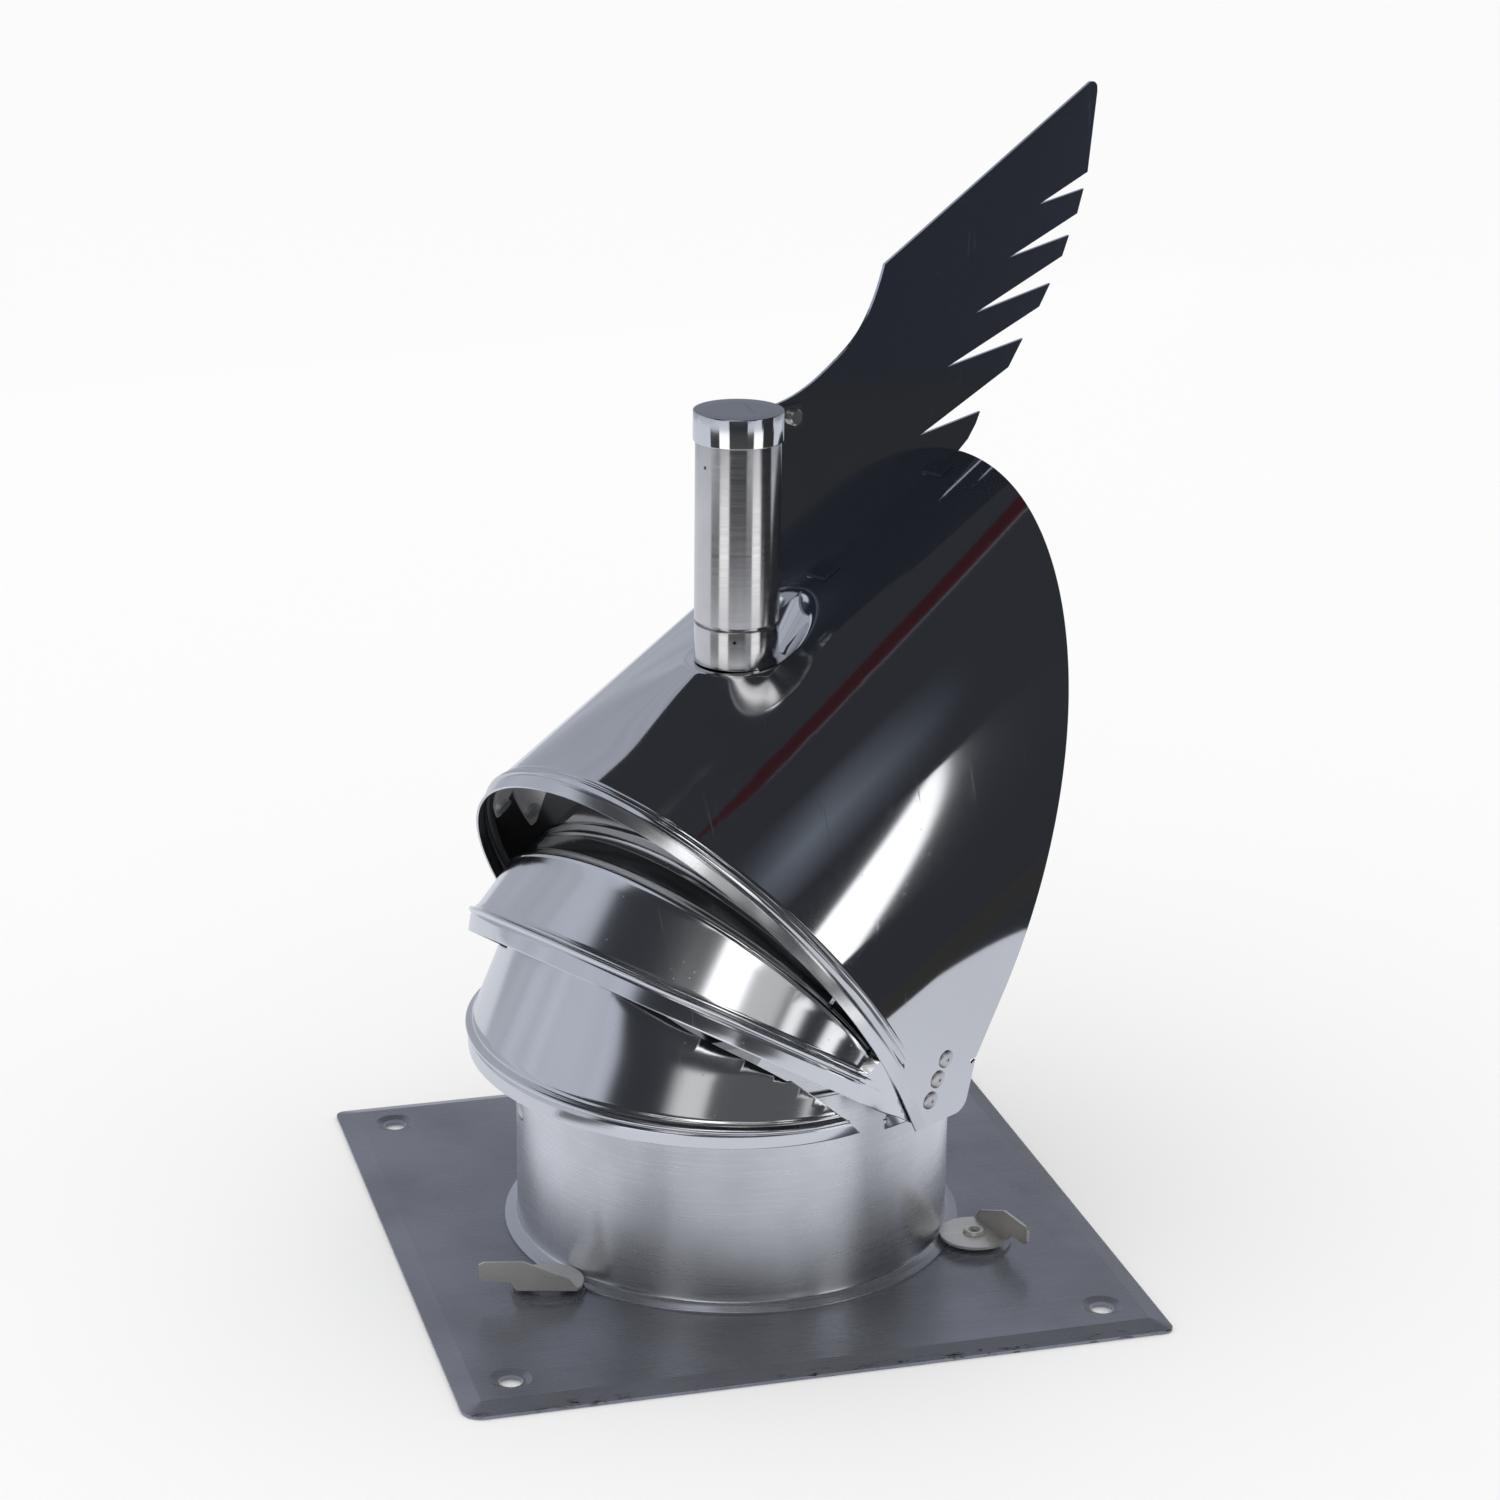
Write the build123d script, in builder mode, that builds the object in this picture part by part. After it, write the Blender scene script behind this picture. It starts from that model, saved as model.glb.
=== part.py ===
from build123d import *
from math import asin, cos, radians, sin, tan
import os

# Rotating chimney cowl for a 150 mm flue, in millimetres, +Z up.
# The origin is on the flue axis at the underside of the base plate.
# The rotor is drawn in its own upright plane: u points leeward (to the open rear), v to one cheek, z up.

# Sheet and base plate
sheet = 0.8
plate_side = 240.0
plate_sheet = 1.0
plate_height = 3.0
plate_border = 6.7
plate_lip_height = 1.0
plate_lip_width = 2.0
plate_corner = 3.5
plate_worn_corner = 7.0
hole_spacing = 202.0
hole_radius = 4.0
dimple_radius = 7.0
dimple_depth = 1.0
collar_height = 8.0
collar_gap = 0.4

# Neck
neck_radius = 75.0
neck_top = 80.0
neck_bead = 1.2
foot_radius = 79.5
foot_rise = 2.6
foot_edge = 0.9

# Strap across the neck and its rivets
strap_width = 25.0
strap_thickness = 3.0
strap_level = 70.0
strap_leg = 30.0
strap_bend = 4.0
rivet_shank = 1.6
rivet_head = 3.0
rivet_head_height = 1.1
rivet_gap = 0.05
leg_rivet_levels = (49.0, 61.0)

# Spindle and its nuts
spindle_radius = 6.0
journal_radius = 5.0
spindle_tail = 14.0
spindle_nut_flats = 18.0
spindle_nut_height = 9.0
washer_radius = 11.0
washer_thickness = 1.5
top_nut_flats = 16.0
top_nut_height = 7.0
top_washer_radius = 7.0
thread_gap = 0.1

# Bearings, 10 x 26 x 8
bearing_outer = 13.0
bearing_width = 8.0
bearing_inner_wall = 2.3
bearing_outer_wall = 2.3
ball_radius = 2.3
ball_count = 7
race_gap = 0.08
cage_wall = 0.9
cage_width = 6.4
bearing_fit = 0.02

# Tube, socket ring and cap
tube_radius = 14.27
ring_radius = 14.2
ring_base = 206.3
ring_height = 13.7
ring_bore = 9.0
groove = 0.4
spigot_height = 8.0
spigot_fit = 0.1
tube_top = 281.9
cap_radius = 15.05
cap_height = 10.0
cap_chamfer = 0.5
cap_roof = 5.0
cap_wall = 2.0
upper_bearing_level = 262.0

# Rotor attitude and hood
heading = 27.5
hood_radius = 94.35
hood_tilt = 25.6
hood_axis_height = 105.7
hood_rear_foot = -9.7
hood_rear_slope = 0.439
hood_front_tilt = 56.5
hood_front_foot = -1.3
cheek_height = 65.9
cheek_bottom = 63.5
cheek_rear = 25.0
cheek_corner = 5.0
hood_band_side = 93.7
hood_band_reach = 93.4
band_height = 5.0
bead_height = 2.0
bead_step = 1.3
band_step = 1.0
band_start = 26.8

# Pressed seat in the hood
seat_radius = 16.5
seat_skirt_angle = 33.0
seat_dish_angle = 55.0
backing_radius = 15.9
backing_thickness = 2.0
hub_spigot_radius = 10.6
hub_spigot_gap = 0.1

# Visors: half width, reach and centre of the oval at the lower edge, then at the height given
middle_tilt = 33.0
middle_oval = (87.2, 84.0, 17.0)
middle_top_oval = (86.5, 74.0, 13.6)
visor_loft = 40.0
middle_crown_tilt = 56.0
middle_lip_tilt = 59.3
bottom_level = 68.9
bottom_oval = (84.2, 84.0, 8.0)
bottom_top_oval = (84.2, 84.0, -22.5)
bottom_crown_tilt = 34.2
rim_step = 1.6
rim_cheek_share = 0.15
rim_band = 5.0
rim_bead = 2.0
rim_bead_step = 0.7
lip_step = 1.5
middle_bead_start = 30.0
bottom_bead_start = 22.0
tab_gap = 0.1
tab_bottom = 68.9
tab_top = 89.5
tab_foot = 14.6
tab_heel = 22.3
middle_tab_front = 3.5
bottom_tab_front = 5.6

# Cheek rivets: angle round the hood's axis from its ridge, and place along the axis
cheek_rivets = ((111.5, -6.8), (108.6, -1.0), (105.9, 5.0))
cheek_rivet_shank = 1.9
cheek_rivet_head = 3.2
cheek_rivet_height = 1.3

# Crown hoop: side outline as distance along the hood's axis and height above it, and its rivets
hoop_sheet = 1.2
hoop_gap = 0.05
hoop_outline = ((-22.0, 100.0), (-22.0, 52.0), (-20.0, 43.7), (-18.5, 43.7), (-13.0, 53.3),
                (-5.0, 25.2), (-2.8, 25.2), (6.0, 37.8), (6.0, 100.0))
hoop_rivets = ((69.5, -3.8), (58.0, -18.0))

# Wing
wing_thickness = 1.0
wing_gap = 0.05
wing_tabs = ((39.4, 7.0), (94.1, 6.0))
wing_tab_width = 5.0
screw_place = (23.3, 286.0)
lug_reach = 27.5
lug_height = 8.0
lug_thickness = 1.2
screw_radius = 1.5
screw_head = 2.8
screw_head_height = 1.8
wing_nut_flats = 5.5
wing_nut_height = 2.4

# Turn latches
latch_angles = {"left": -150.0, "right": -31.5, "rear": 90.0}
latch_turn = 45.0
latch_circle = 87.5
latch_radius = 12.0
latch_chord = 6.5
latch_sheet = 1.0
latch_height = 10.0
latch_ear = 22.8
foot_gap = 0.4
spacer_radius = 12.6
spacer_boss = 7.0
spacer_flange = 1.0
spacer_height = 2.85
latch_rivet = 2.5
latch_rivet_head = 3.9
latch_rivet_height = 1.1
latch_rivet_bore = 1.3
latch_rivet_tail = 1.0
latch_running_gap = 0.05

os.makedirs("parts", exist_ok=True)
made = []


def keep(builder, name):
    builder.part.label = name
    made.append((name, builder.part))
    export_step(builder.part, f"parts/{name}.step")


# Directions of the rotor at rest
leeward = Vector(cos(radians(heading)), sin(radians(heading)), 0)
cheekward = Vector(sin(radians(heading)), -cos(radians(heading)), 0)
side_plane = Plane(origin=(0, 0, 0), x_dir=leeward, z_dir=cheekward)


def rotor_point(u, v, z):
    return leeward * u + cheekward * v + Vector(0, 0, z)


def rim_plane(tilt, u, z, height=0.0):
    """Plane of a rim that rises towards the windward front, moved along its normal by height."""
    forward = leeward * -cos(radians(tilt)) + Vector(0, 0, sin(radians(tilt)))
    normal = leeward * sin(radians(tilt)) + Vector(0, 0, cos(radians(tilt)))
    return Plane(origin=rotor_point(u, 0, z) + normal * height, x_dir=forward, z_dir=normal)


def oval_solid(lower, upper, lower_plane, upper_plane):
    """Closed solid between two ovals, each given as half width, half reach and forward offset."""
    with BuildPart() as solid:
        for oval, plane in ((lower, lower_plane), (upper, upper_plane)):
            with BuildSketch(plane):
                with Locations((oval[2], 0)):
                    Ellipse(oval[1], oval[0])
        loft(ruled=True)
    return solid.part


def grown(oval, step):
    return (oval[0] + step, oval[1] + step, oval[2])


def between(lower, upper, share):
    return tuple(a + (b - a) * share for a, b in zip(lower, upper))


# Base plate: pressed sheet with a down-turned border, dimpled fixing holes and a locating collar
collar_radius = neck_radius - sheet - collar_gap
plate_flat = plate_side - 2 * plate_border
latch_places = {side: (latch_circle * cos(radians(a)), latch_circle * sin(radians(a)))
                for side, a in latch_angles.items()}


def plate_outline(side):
    """Square outline with the worn front-left corner rounder than the others."""
    with BuildSketch(mode=Mode.PRIVATE) as outline:
        Rectangle(side, side)
        worn = outline.vertices().sort_by(Axis.X)[:2].sort_by(Axis.Y)[0]
        inset = (plate_side - side) / 2
        fillet(worn, max(plate_worn_corner - inset, 0.5))
        sharp = [v for v in outline.vertices() if abs(abs(v.X) - side / 2) + abs(abs(v.Y) - side / 2) < 0.01]
        fillet(sharp, max(plate_corner - inset / 2, 0.5))
    return outline.sketch


with BuildPart() as base_plate:
    with BuildSketch():
        add(plate_outline(plate_side))
    extrude(amount=plate_lip_height)
    with BuildSketch(Plane.XY.offset(plate_lip_height)):
        add(plate_outline(plate_side))
    with BuildSketch(Plane.XY.offset(plate_height)):
        add(plate_outline(plate_flat))
    loft()
    with BuildSketch():
        add(plate_outline(plate_side - 2 * plate_lip_width))
    with BuildSketch(Plane.XY.offset(plate_height - plate_sheet)):
        add(plate_outline(plate_flat - plate_lip_width))
    loft(mode=Mode.SUBTRACT)
    with BuildSketch(Plane.XY.offset(plate_height - plate_sheet)):
        Circle(collar_radius)
    extrude(amount=collar_height + plate_sheet)
    with BuildSketch():
        Circle(collar_radius - plate_sheet)
    extrude(amount=plate_height + collar_height, mode=Mode.SUBTRACT)
    with BuildSketch():
        with GridLocations(hole_spacing, hole_spacing, 2, 2):
            Circle(dimple_radius)
    extrude(amount=plate_height, mode=Mode.SUBTRACT)
    with BuildPart(mode=Mode.PRIVATE) as dimple:
        with BuildSketch(Plane.XZ):
            with BuildLine():
                Polyline((dimple_radius, plate_height), (hole_radius + 0.9, plate_height - dimple_depth),
                         (hole_radius, plate_height - dimple_depth),
                         (hole_radius, plate_height - dimple_depth - plate_sheet),
                         (hole_radius + 1.3, plate_height - dimple_depth - plate_sheet),
                         (dimple_radius + 0.4, plate_height - plate_sheet), (dimple_radius + 0.4, plate_height),
                         close=True)
            make_face()
        revolve(axis=Axis.Z)
    with GridLocations(hole_spacing, hole_spacing, 2, 2):
        add(dimple.part)
    with Locations([(x, y, 0) for x, y in latch_places.values()]):
        Cylinder(latch_rivet + rivet_gap, 2 * plate_height, mode=Mode.SUBTRACT)
keep(base_plate, "base_plate")

# Neck: rolled tube with a flared foot on the plate and a curled top edge
neck_bore = neck_radius - sheet
with BuildPart() as neck:
    with BuildSketch(Plane.XZ):
        with BuildLine():
            Polyline((neck_bore, neck_top), (neck_radius, neck_top), (neck_radius, plate_height + foot_rise),
                     (foot_radius, plate_height + foot_edge), (foot_radius, plate_height),
                     (foot_radius - foot_edge, plate_height), (neck_bore, plate_height + foot_rise - foot_edge),
                     close=True)
        make_face()
        with Locations((neck_radius, neck_top - neck_bead)):
            Circle(neck_bead)
    revolve(axis=Axis.Z)
    for level in leg_rivet_levels:
        with Locations(Location((0, 0, level), (0, 90, 0))):
            Cylinder(rivet_shank + rivet_gap, 2 * neck_radius + 10, mode=Mode.SUBTRACT)
keep(neck, "neck")

# Strap: flat bar across the neck with both ends turned down against its wall
with BuildPart() as strap:
    with BuildSketch(Plane.XZ.offset(-strap_width / 2)):
        with Locations((0, strap_level + strap_thickness)):
            Rectangle(2 * neck_bore, strap_leg + strap_thickness, align=(Align.CENTER, Align.MAX))
        with Locations((0, strap_level)):
            Rectangle(2 * (neck_bore - strap_thickness - 1), 2 * strap_leg, align=(Align.CENTER, Align.MAX),
                      mode=Mode.SUBTRACT)
    extrude(amount=strap_width)
    bends = strap.edges().filter_by(Axis.Y).group_by(Axis.Z)[-1]
    fillet(bends, strap_bend)
    with BuildSketch():
        Circle(neck_bore)
    extrude(amount=neck_top, mode=Mode.INTERSECT)
    with BuildSketch(Plane.XY.offset(strap_level)):
        Circle(spindle_radius + thread_gap)
    extrude(amount=strap_thickness, mode=Mode.SUBTRACT)
    for level in leg_rivet_levels:
        with Locations(Location((0, 0, level), (0, 90, 0))):
            Cylinder(rivet_shank + rivet_gap, 2 * neck_radius + 10, mode=Mode.SUBTRACT)
keep(strap, "neck_strap")


def made_rivet(shank, head, head_height, grip):
    """Blind rivet along +Z: domed head above z = 0, shank and upset end below."""
    dome = (head ** 2 + head_height ** 2) / (2 * head_height)
    half = asin(head / dome) / 2
    with BuildPart() as rivet:
        with BuildSketch(Plane.XZ):
            with BuildLine():
                Line((0, head_height), (0, -grip - head_height))
                Line((0, -grip - head_height), (shank * 1.3, -grip - head_height * 0.6))
                Line((shank * 1.3, -grip - head_height * 0.6), (shank * 1.3, -grip))
                Line((shank * 1.3, -grip), (shank, -grip))
                Line((shank, -grip), (shank, 0))
                Line((shank, 0), (head, 0))
                ThreePointArc((head, 0), (dome * sin(half), head_height - dome * (1 - cos(half))), (0, head_height))
            make_face()
        revolve(axis=Axis.Z)
    return rivet.part


leg_grip = sheet + strap_thickness + 1.0
leg_rivet = made_rivet(rivet_shank, rivet_head, rivet_head_height, leg_grip)
with BuildPart() as strap_rivets:
    for side, turn in ((1, 90), (-1, -90)):
        with Locations([Location((side * neck_radius, 0, level), (0, turn, 0)) for level in leg_rivet_levels]):
            add(leg_rivet)
keep(strap_rivets, "strap_rivets")

# Fixed spindle with a shoulder for the lower bearing, and the column of parts on it
spigot_top = ring_base + ring_height + spigot_height
lower_bearing_level = spigot_top + bearing_fit
upper_bearing_top = upper_bearing_level + bearing_width
nut_level = upper_bearing_top + washer_thickness
spindle_top = nut_level + top_nut_height + 2.0
spindle_foot = strap_level - spindle_tail
with BuildPart() as spindle:
    with BuildSketch(Plane.XY.offset(spindle_foot)):
        Circle(spindle_radius)
    extrude(amount=lower_bearing_level - spindle_foot)
    with BuildSketch(Plane.XY.offset(lower_bearing_level)):
        Circle(journal_radius)
    extrude(amount=spindle_top - lower_bearing_level)
    ends = spindle.faces().filter_by(Axis.Z).sort_by(Axis.Z)
    chamfer(ends[0].edges() + ends[-1].edges(), 0.8)
keep(spindle, "spindle")

strap_top = strap_level + strap_thickness
with BuildPart() as spindle_nuts:
    for level in (strap_top + washer_thickness, strap_level - washer_thickness - spindle_nut_height):
        with BuildSketch(Plane.XY.offset(level)):
            RegularPolygon(spindle_nut_flats / 2, 6, major_radius=False)
            Circle(spindle_radius + thread_gap, mode=Mode.SUBTRACT)
        extrude(amount=spindle_nut_height)
keep(spindle_nuts, "spindle_nuts")

with BuildPart() as spindle_washers:
    for level in (strap_top, strap_level - washer_thickness):
        with BuildSketch(Plane.XY.offset(level)):
            Circle(washer_radius)
            Circle(spindle_radius + thread_gap, mode=Mode.SUBTRACT)
        extrude(amount=washer_thickness)
keep(spindle_washers, "spindle_washers")

with BuildPart() as bearing_spacer:
    with BuildSketch(Plane.XY.offset(lower_bearing_level + bearing_width)):
        Circle(journal_radius + bearing_inner_wall)
        Circle(journal_radius + thread_gap, mode=Mode.SUBTRACT)
    extrude(amount=upper_bearing_level - lower_bearing_level - bearing_width)
keep(bearing_spacer, "bearing_spacer")

with BuildPart() as top_washer:
    with BuildSketch(Plane.XY.offset(upper_bearing_top)):
        Circle(top_washer_radius)
        Circle(journal_radius + thread_gap, mode=Mode.SUBTRACT)
    extrude(amount=washer_thickness)
keep(top_washer, "top_washer")

with BuildPart() as top_nut:
    with BuildSketch(Plane.XY.offset(nut_level)):
        RegularPolygon(top_nut_flats / 2, 6, major_radius=False)
        Circle(journal_radius + thread_gap, mode=Mode.SUBTRACT)
    extrude(amount=top_nut_height)
keep(top_nut, "top_nut")

# Ball bearings: inner ring on the spindle, outer ring in the tube, balls in a ribbon cage
pitch_radius = (journal_radius + bearing_outer) / 2
for place, level in (("lower", lower_bearing_level), ("upper", upper_bearing_level)):
    middle = level + bearing_width / 2
    with BuildPart() as inner_ring:
        with BuildSketch(Plane.XY.offset(level)):
            Circle(journal_radius + bearing_inner_wall)
            Circle(journal_radius + bearing_fit, mode=Mode.SUBTRACT)
        extrude(amount=bearing_width)
        with BuildSketch(Plane.XZ):
            with Locations((pitch_radius, middle)):
                Circle(ball_radius + race_gap)
        revolve(axis=Axis.Z, mode=Mode.SUBTRACT)
    keep(inner_ring, f"{place}_bearing_inner_ring")
    with BuildPart() as outer_ring:
        with BuildSketch(Plane.XY.offset(level)):
            Circle(bearing_outer - bearing_fit)
            Circle(bearing_outer - bearing_outer_wall, mode=Mode.SUBTRACT)
        extrude(amount=bearing_width)
        with BuildSketch(Plane.XZ):
            with Locations((pitch_radius, middle)):
                Circle(ball_radius + race_gap)
        revolve(axis=Axis.Z, mode=Mode.SUBTRACT)
    keep(outer_ring, f"{place}_bearing_outer_ring")
    with BuildPart() as balls:
        with Locations((0, 0, middle)):
            with PolarLocations(pitch_radius, ball_count):
                Sphere(ball_radius)
    keep(balls, f"{place}_bearing_balls")
    with BuildPart() as cage:
        with BuildSketch(Plane.XY.offset(middle - cage_width / 2)):
            Circle(pitch_radius + cage_wall / 2)
            Circle(pitch_radius - cage_wall / 2, mode=Mode.SUBTRACT)
        extrude(amount=cage_width)
        with Locations((0, 0, middle)):
            with PolarLocations(pitch_radius, ball_count):
                with Locations(Location((0, 0, 0), (0, 90, 0))):
                    Cylinder(ball_radius + race_gap, 2 * bearing_outer_wall, mode=Mode.SUBTRACT)
    keep(cage, f"{place}_bearing_cage")

# Socket ring: stands on the hood's seat, its spigot locates the tube and its tail goes through the hood
tail_bottom = ring_base - sheet - backing_thickness
with BuildPart() as socket_ring:
    for level, radius, height in ((ring_base, ring_radius, ring_height),
                                  (ring_base + ring_height, bearing_outer - spigot_fit, spigot_height),
                                  (tail_bottom, hub_spigot_radius - hub_spigot_gap, ring_base - tail_bottom)):
        with BuildSketch(Plane.XY.offset(level)):
            Circle(radius)
        extrude(amount=height)
    with BuildSketch(Plane.XY.offset(tail_bottom)):
        Circle(ring_bore)
    extrude(amount=spigot_top - tail_bottom, mode=Mode.SUBTRACT)
keep(socket_ring, "socket_ring")

with BuildPart() as backing_plate:
    with BuildSketch(Plane.XY.offset(ring_base - sheet - backing_thickness)):
        Circle(backing_radius)
        Circle(hub_spigot_radius, mode=Mode.SUBTRACT)
    extrude(amount=backing_thickness)
keep(backing_plate, "backing_plate")

tube_bottom = ring_base + ring_height + groove
with BuildPart() as bearing_tube:
    with BuildSketch(Plane.XY.offset(tube_bottom)):
        Circle(tube_radius)
        Circle(bearing_outer, mode=Mode.SUBTRACT)
    extrude(amount=tube_top - tube_bottom)
keep(bearing_tube, "bearing_tube")

# Cap: turned lid whose skirt reaches down inside the tube to the upper bearing's outer ring
cap_top = tube_top + cap_height
with BuildPart() as tube_cap:
    with BuildSketch(Plane.XY.offset(tube_top)):
        Circle(cap_radius)
    extrude(amount=cap_height)
    chamfer(tube_cap.faces().sort_by(Axis.Z)[-1].edges(), cap_chamfer)
    with BuildSketch(Plane.XY.offset(upper_bearing_top + bearing_fit)):
        Circle(bearing_outer - spigot_fit)
    extrude(amount=tube_top - upper_bearing_top - bearing_fit)
    with BuildSketch(Plane.XY.offset(upper_bearing_top)):
        Circle(bearing_outer - cap_wall)
    extrude(amount=cap_top - cap_roof - upper_bearing_top, mode=Mode.SUBTRACT)
keep(tube_cap, "tube_cap")

# Hood: rolled tube on a tilted axis, with a pressed seat for the socket ring and a stepped front rim
hood_direction = leeward * cos(radians(hood_tilt)) + Vector(0, 0, sin(radians(hood_tilt)))
hood_up = leeward * -sin(radians(hood_tilt)) + Vector(0, 0, cos(radians(hood_tilt)))
hood_plane = Plane(origin=(0, 0, hood_axis_height), x_dir=hood_up, z_dir=hood_direction)
hood_reach = 260.0


def hood_body(radius, drop):
    """Tube with the seat's skirt and dish, drawn at the outer face or, with drop, one sheet inside it."""
    flat = ring_base - drop
    skirt_base = flat - 30.0
    skirt_radius = seat_radius + 30.0 / tan(radians(seat_skirt_angle)) - drop * tan(radians(seat_skirt_angle / 2))
    rim = seat_radius + drop * tan(radians(seat_dish_angle / 2))
    dish_height = 30.0
    with BuildPart() as body:
        with BuildSketch(hood_plane):
            Circle(radius)
        extrude(amount=hood_reach, both=True)
        with Locations((0, 0, skirt_base)):
            Cone(skirt_radius, seat_radius - drop * tan(radians(seat_skirt_angle / 2)), flat - skirt_base,
                 align=(Align.CENTER, Align.CENTER, Align.MIN))
        with Locations((0, 0, flat)):
            Cone(rim, rim + dish_height / tan(radians(seat_dish_angle)), dish_height,
                 align=(Align.CENTER, Align.CENTER, Align.MIN), mode=Mode.SUBTRACT)
    return body.part


def front_point(s, height):
    """Point of the side view on the hood's front plane, s up the plane and height behind it."""
    tilt = radians(hood_front_tilt)
    return (hood_front_foot - s * cos(tilt) + height * sin(tilt), cheek_height + s * sin(tilt) + height * cos(tilt))


def rear_u(z):
    return hood_rear_foot + hood_rear_slope * z


def hood_section(height):
    """Oval that the hood's tube leaves on a plane parallel to its front, as half width, reach and offset."""
    total = radians(hood_front_tilt + hood_tilt)
    u0, z0 = front_point(0, height)
    drop = hood_axis_height + u0 * tan(radians(hood_tilt)) - z0
    offset = drop * cos(radians(hood_tilt)) / sin(total)
    return (hood_radius, hood_radius / sin(total), offset)


rim_height = band_height + bead_height
rim_overlap = 0.3
foot_s = (cheek_bottom - cheek_height) / sin(radians(hood_front_tilt))
crown_s = 260.0
crown_z = front_point(crown_s, rim_height)[1]
cheek_knee = 83.0
hood_outer = hood_body(hood_radius, 0)
hood_inner = hood_body(hood_radius - sheet, sheet)
hood_edge = (hood_band_side, hood_band_reach, hood_section(0)[2])


def hood_rim_solid(section, growth):
    """Oval solid across the rim's height; section gives the oval at a height above the front plane."""
    ends = (-1.0, rim_height + 1.0)
    return oval_solid(grown(section(ends[0]), growth), grown(section(ends[1]), growth),
                      *[rim_plane(hood_front_tilt, hood_front_foot, cheek_height, h) for h in ends])


def band_section(height):
    return between(hood_edge, hood_section(band_height), height / band_height)


def shell(outer, inner, outline):
    """Part of a thin shell whose side view is the outline."""
    with BuildPart() as piece:
        add(outer)
        add(inner, mode=Mode.SUBTRACT)
        with BuildSketch(side_plane):
            with BuildLine():
                Polyline(*outline, close=True)
            make_face()
        extrude(amount=2 * hood_radius, both=True, mode=Mode.INTERSECT)
    return piece.part


def front_strip(h0, h1):
    return (front_point(band_start, h0), front_point(crown_s, h0), front_point(crown_s, h1),
            front_point(band_start, h1))


hood_band = shell(hood_rim_solid(band_section, 0), hood_rim_solid(band_section, -sheet),
                  front_strip(0, band_height + rim_overlap))
hood_bead = shell(hood_rim_solid(hood_section, bead_step), hood_rim_solid(hood_section, -0.6 * sheet),
                  front_strip(band_height, rim_height + rim_overlap))

with BuildPart() as hood:
    add(hood_outer)
    add(hood_inner, mode=Mode.SUBTRACT)
    with BuildSketch(side_plane) as hood_side:
        with BuildLine():
            Polyline(front_point(foot_s, 0), front_point(band_start, 0), front_point(band_start, rim_height),
                     front_point(crown_s, rim_height), (rear_u(crown_z), crown_z), (rear_u(cheek_knee), cheek_knee),
                     (cheek_rear, cheek_bottom), close=True)
        make_face()
        fillet(hood_side.vertices().sort_by_distance((cheek_rear, cheek_bottom, 0))[0], cheek_corner)
    extrude(amount=2 * hood_radius, both=True, mode=Mode.INTERSECT)
    add(hood_band)
    add(hood_bead)
    with BuildSketch(Plane.XY.offset(ring_base - 5)):
        Circle(hub_spigot_radius)
    extrude(amount=10, mode=Mode.SUBTRACT)


def on_hood(angle, along, radius, mirrored=False):
    """Place on the hood's tube, x round it and z outwards: angle from the ridge, distance along its axis."""
    turn = -angle if mirrored else angle
    outward = hood_up * cos(radians(turn)) + cheekward * sin(radians(turn))
    origin = Vector(0, 0, hood_axis_height) + hood_direction * along + outward * radius
    return Plane(origin=origin, x_dir=hood_direction, z_dir=outward)


with hood:
    for places, shank in ((cheek_rivets, cheek_rivet_shank), (hoop_rivets, rivet_shank)):
        for mirrored in (False, True):
            with Locations([on_hood(a, d, hood_radius, mirrored).location for a, d in places]):
                Cylinder(shank + rivet_gap, 20, mode=Mode.SUBTRACT)
keep(hood, "hood")

# Crown hoop: pressed band under the hood's front, each end cut to two riveted points
hoop_outer = hood_radius - sheet - hoop_gap
with BuildPart() as crown_hoop:
    with BuildSketch(hood_plane):
        Circle(hoop_outer)
        Circle(hoop_outer - hoop_sheet, mode=Mode.SUBTRACT)
    extrude(amount=60, both=True)
    with BuildSketch(Plane(origin=(0, 0, hood_axis_height), x_dir=hood_direction, z_dir=cheekward)):
        with BuildLine():
            Polyline(*hoop_outline, close=True)
        make_face()
    extrude(amount=2 * hood_radius, both=True, mode=Mode.INTERSECT)
    for mirrored in (False, True):
        with Locations([on_hood(a, d, hood_radius, mirrored).location for a, d in hoop_rivets]):
            Cylinder(rivet_shank + rivet_gap, 20, mode=Mode.SUBTRACT)
keep(crown_hoop, "crown_hoop")

hoop_seat = hoop_outer - hoop_sheet - rivet_gap
with BuildPart() as hoop_rivet_set:
    for mirrored in (False, True):
        with Locations([on_hood(a, d, hoop_seat, mirrored).location * Location((0, 0, 0), (180, 0, 0))
                        for a, d in hoop_rivets]):
            Cylinder(rivet_head, rivet_head_height, align=(Align.CENTER, Align.CENTER, Align.MIN))
            Cylinder(rivet_shank, hood_radius - hoop_seat - rivet_gap, align=(Align.CENTER, Align.CENTER, Align.MAX))
keep(hoop_rivet_set, "hoop_rivets")


# Visors: stepped rims, upper edges hidden under the next piece, and tabs riveted under the hood's cheeks
def line_point(tilt, s):
    """Point of the side view on the line from the cheek up to the windward front at the given tilt."""
    return (-s * cos(radians(tilt)), cheek_height + s * sin(radians(tilt)))


def line_height(tilt, s, height):
    """The same, moved upwards across the line."""
    u, z = line_point(tilt, s)
    return (u + height * sin(radians(tilt)), z + height * cos(radians(tilt)))


def wall_point(z, height):
    """Point of the side view at level z on a line behind the hood's front plane."""
    s = (z - cheek_height - height * cos(radians(hood_front_tilt))) / sin(radians(hood_front_tilt))
    return front_point(s, height)


def hood_cylinder(radius):
    with BuildPart() as cylinder:
        with BuildSketch(hood_plane):
            Circle(radius)
        extrude(amount=80, both=True)
    return cylinder.part


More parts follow.
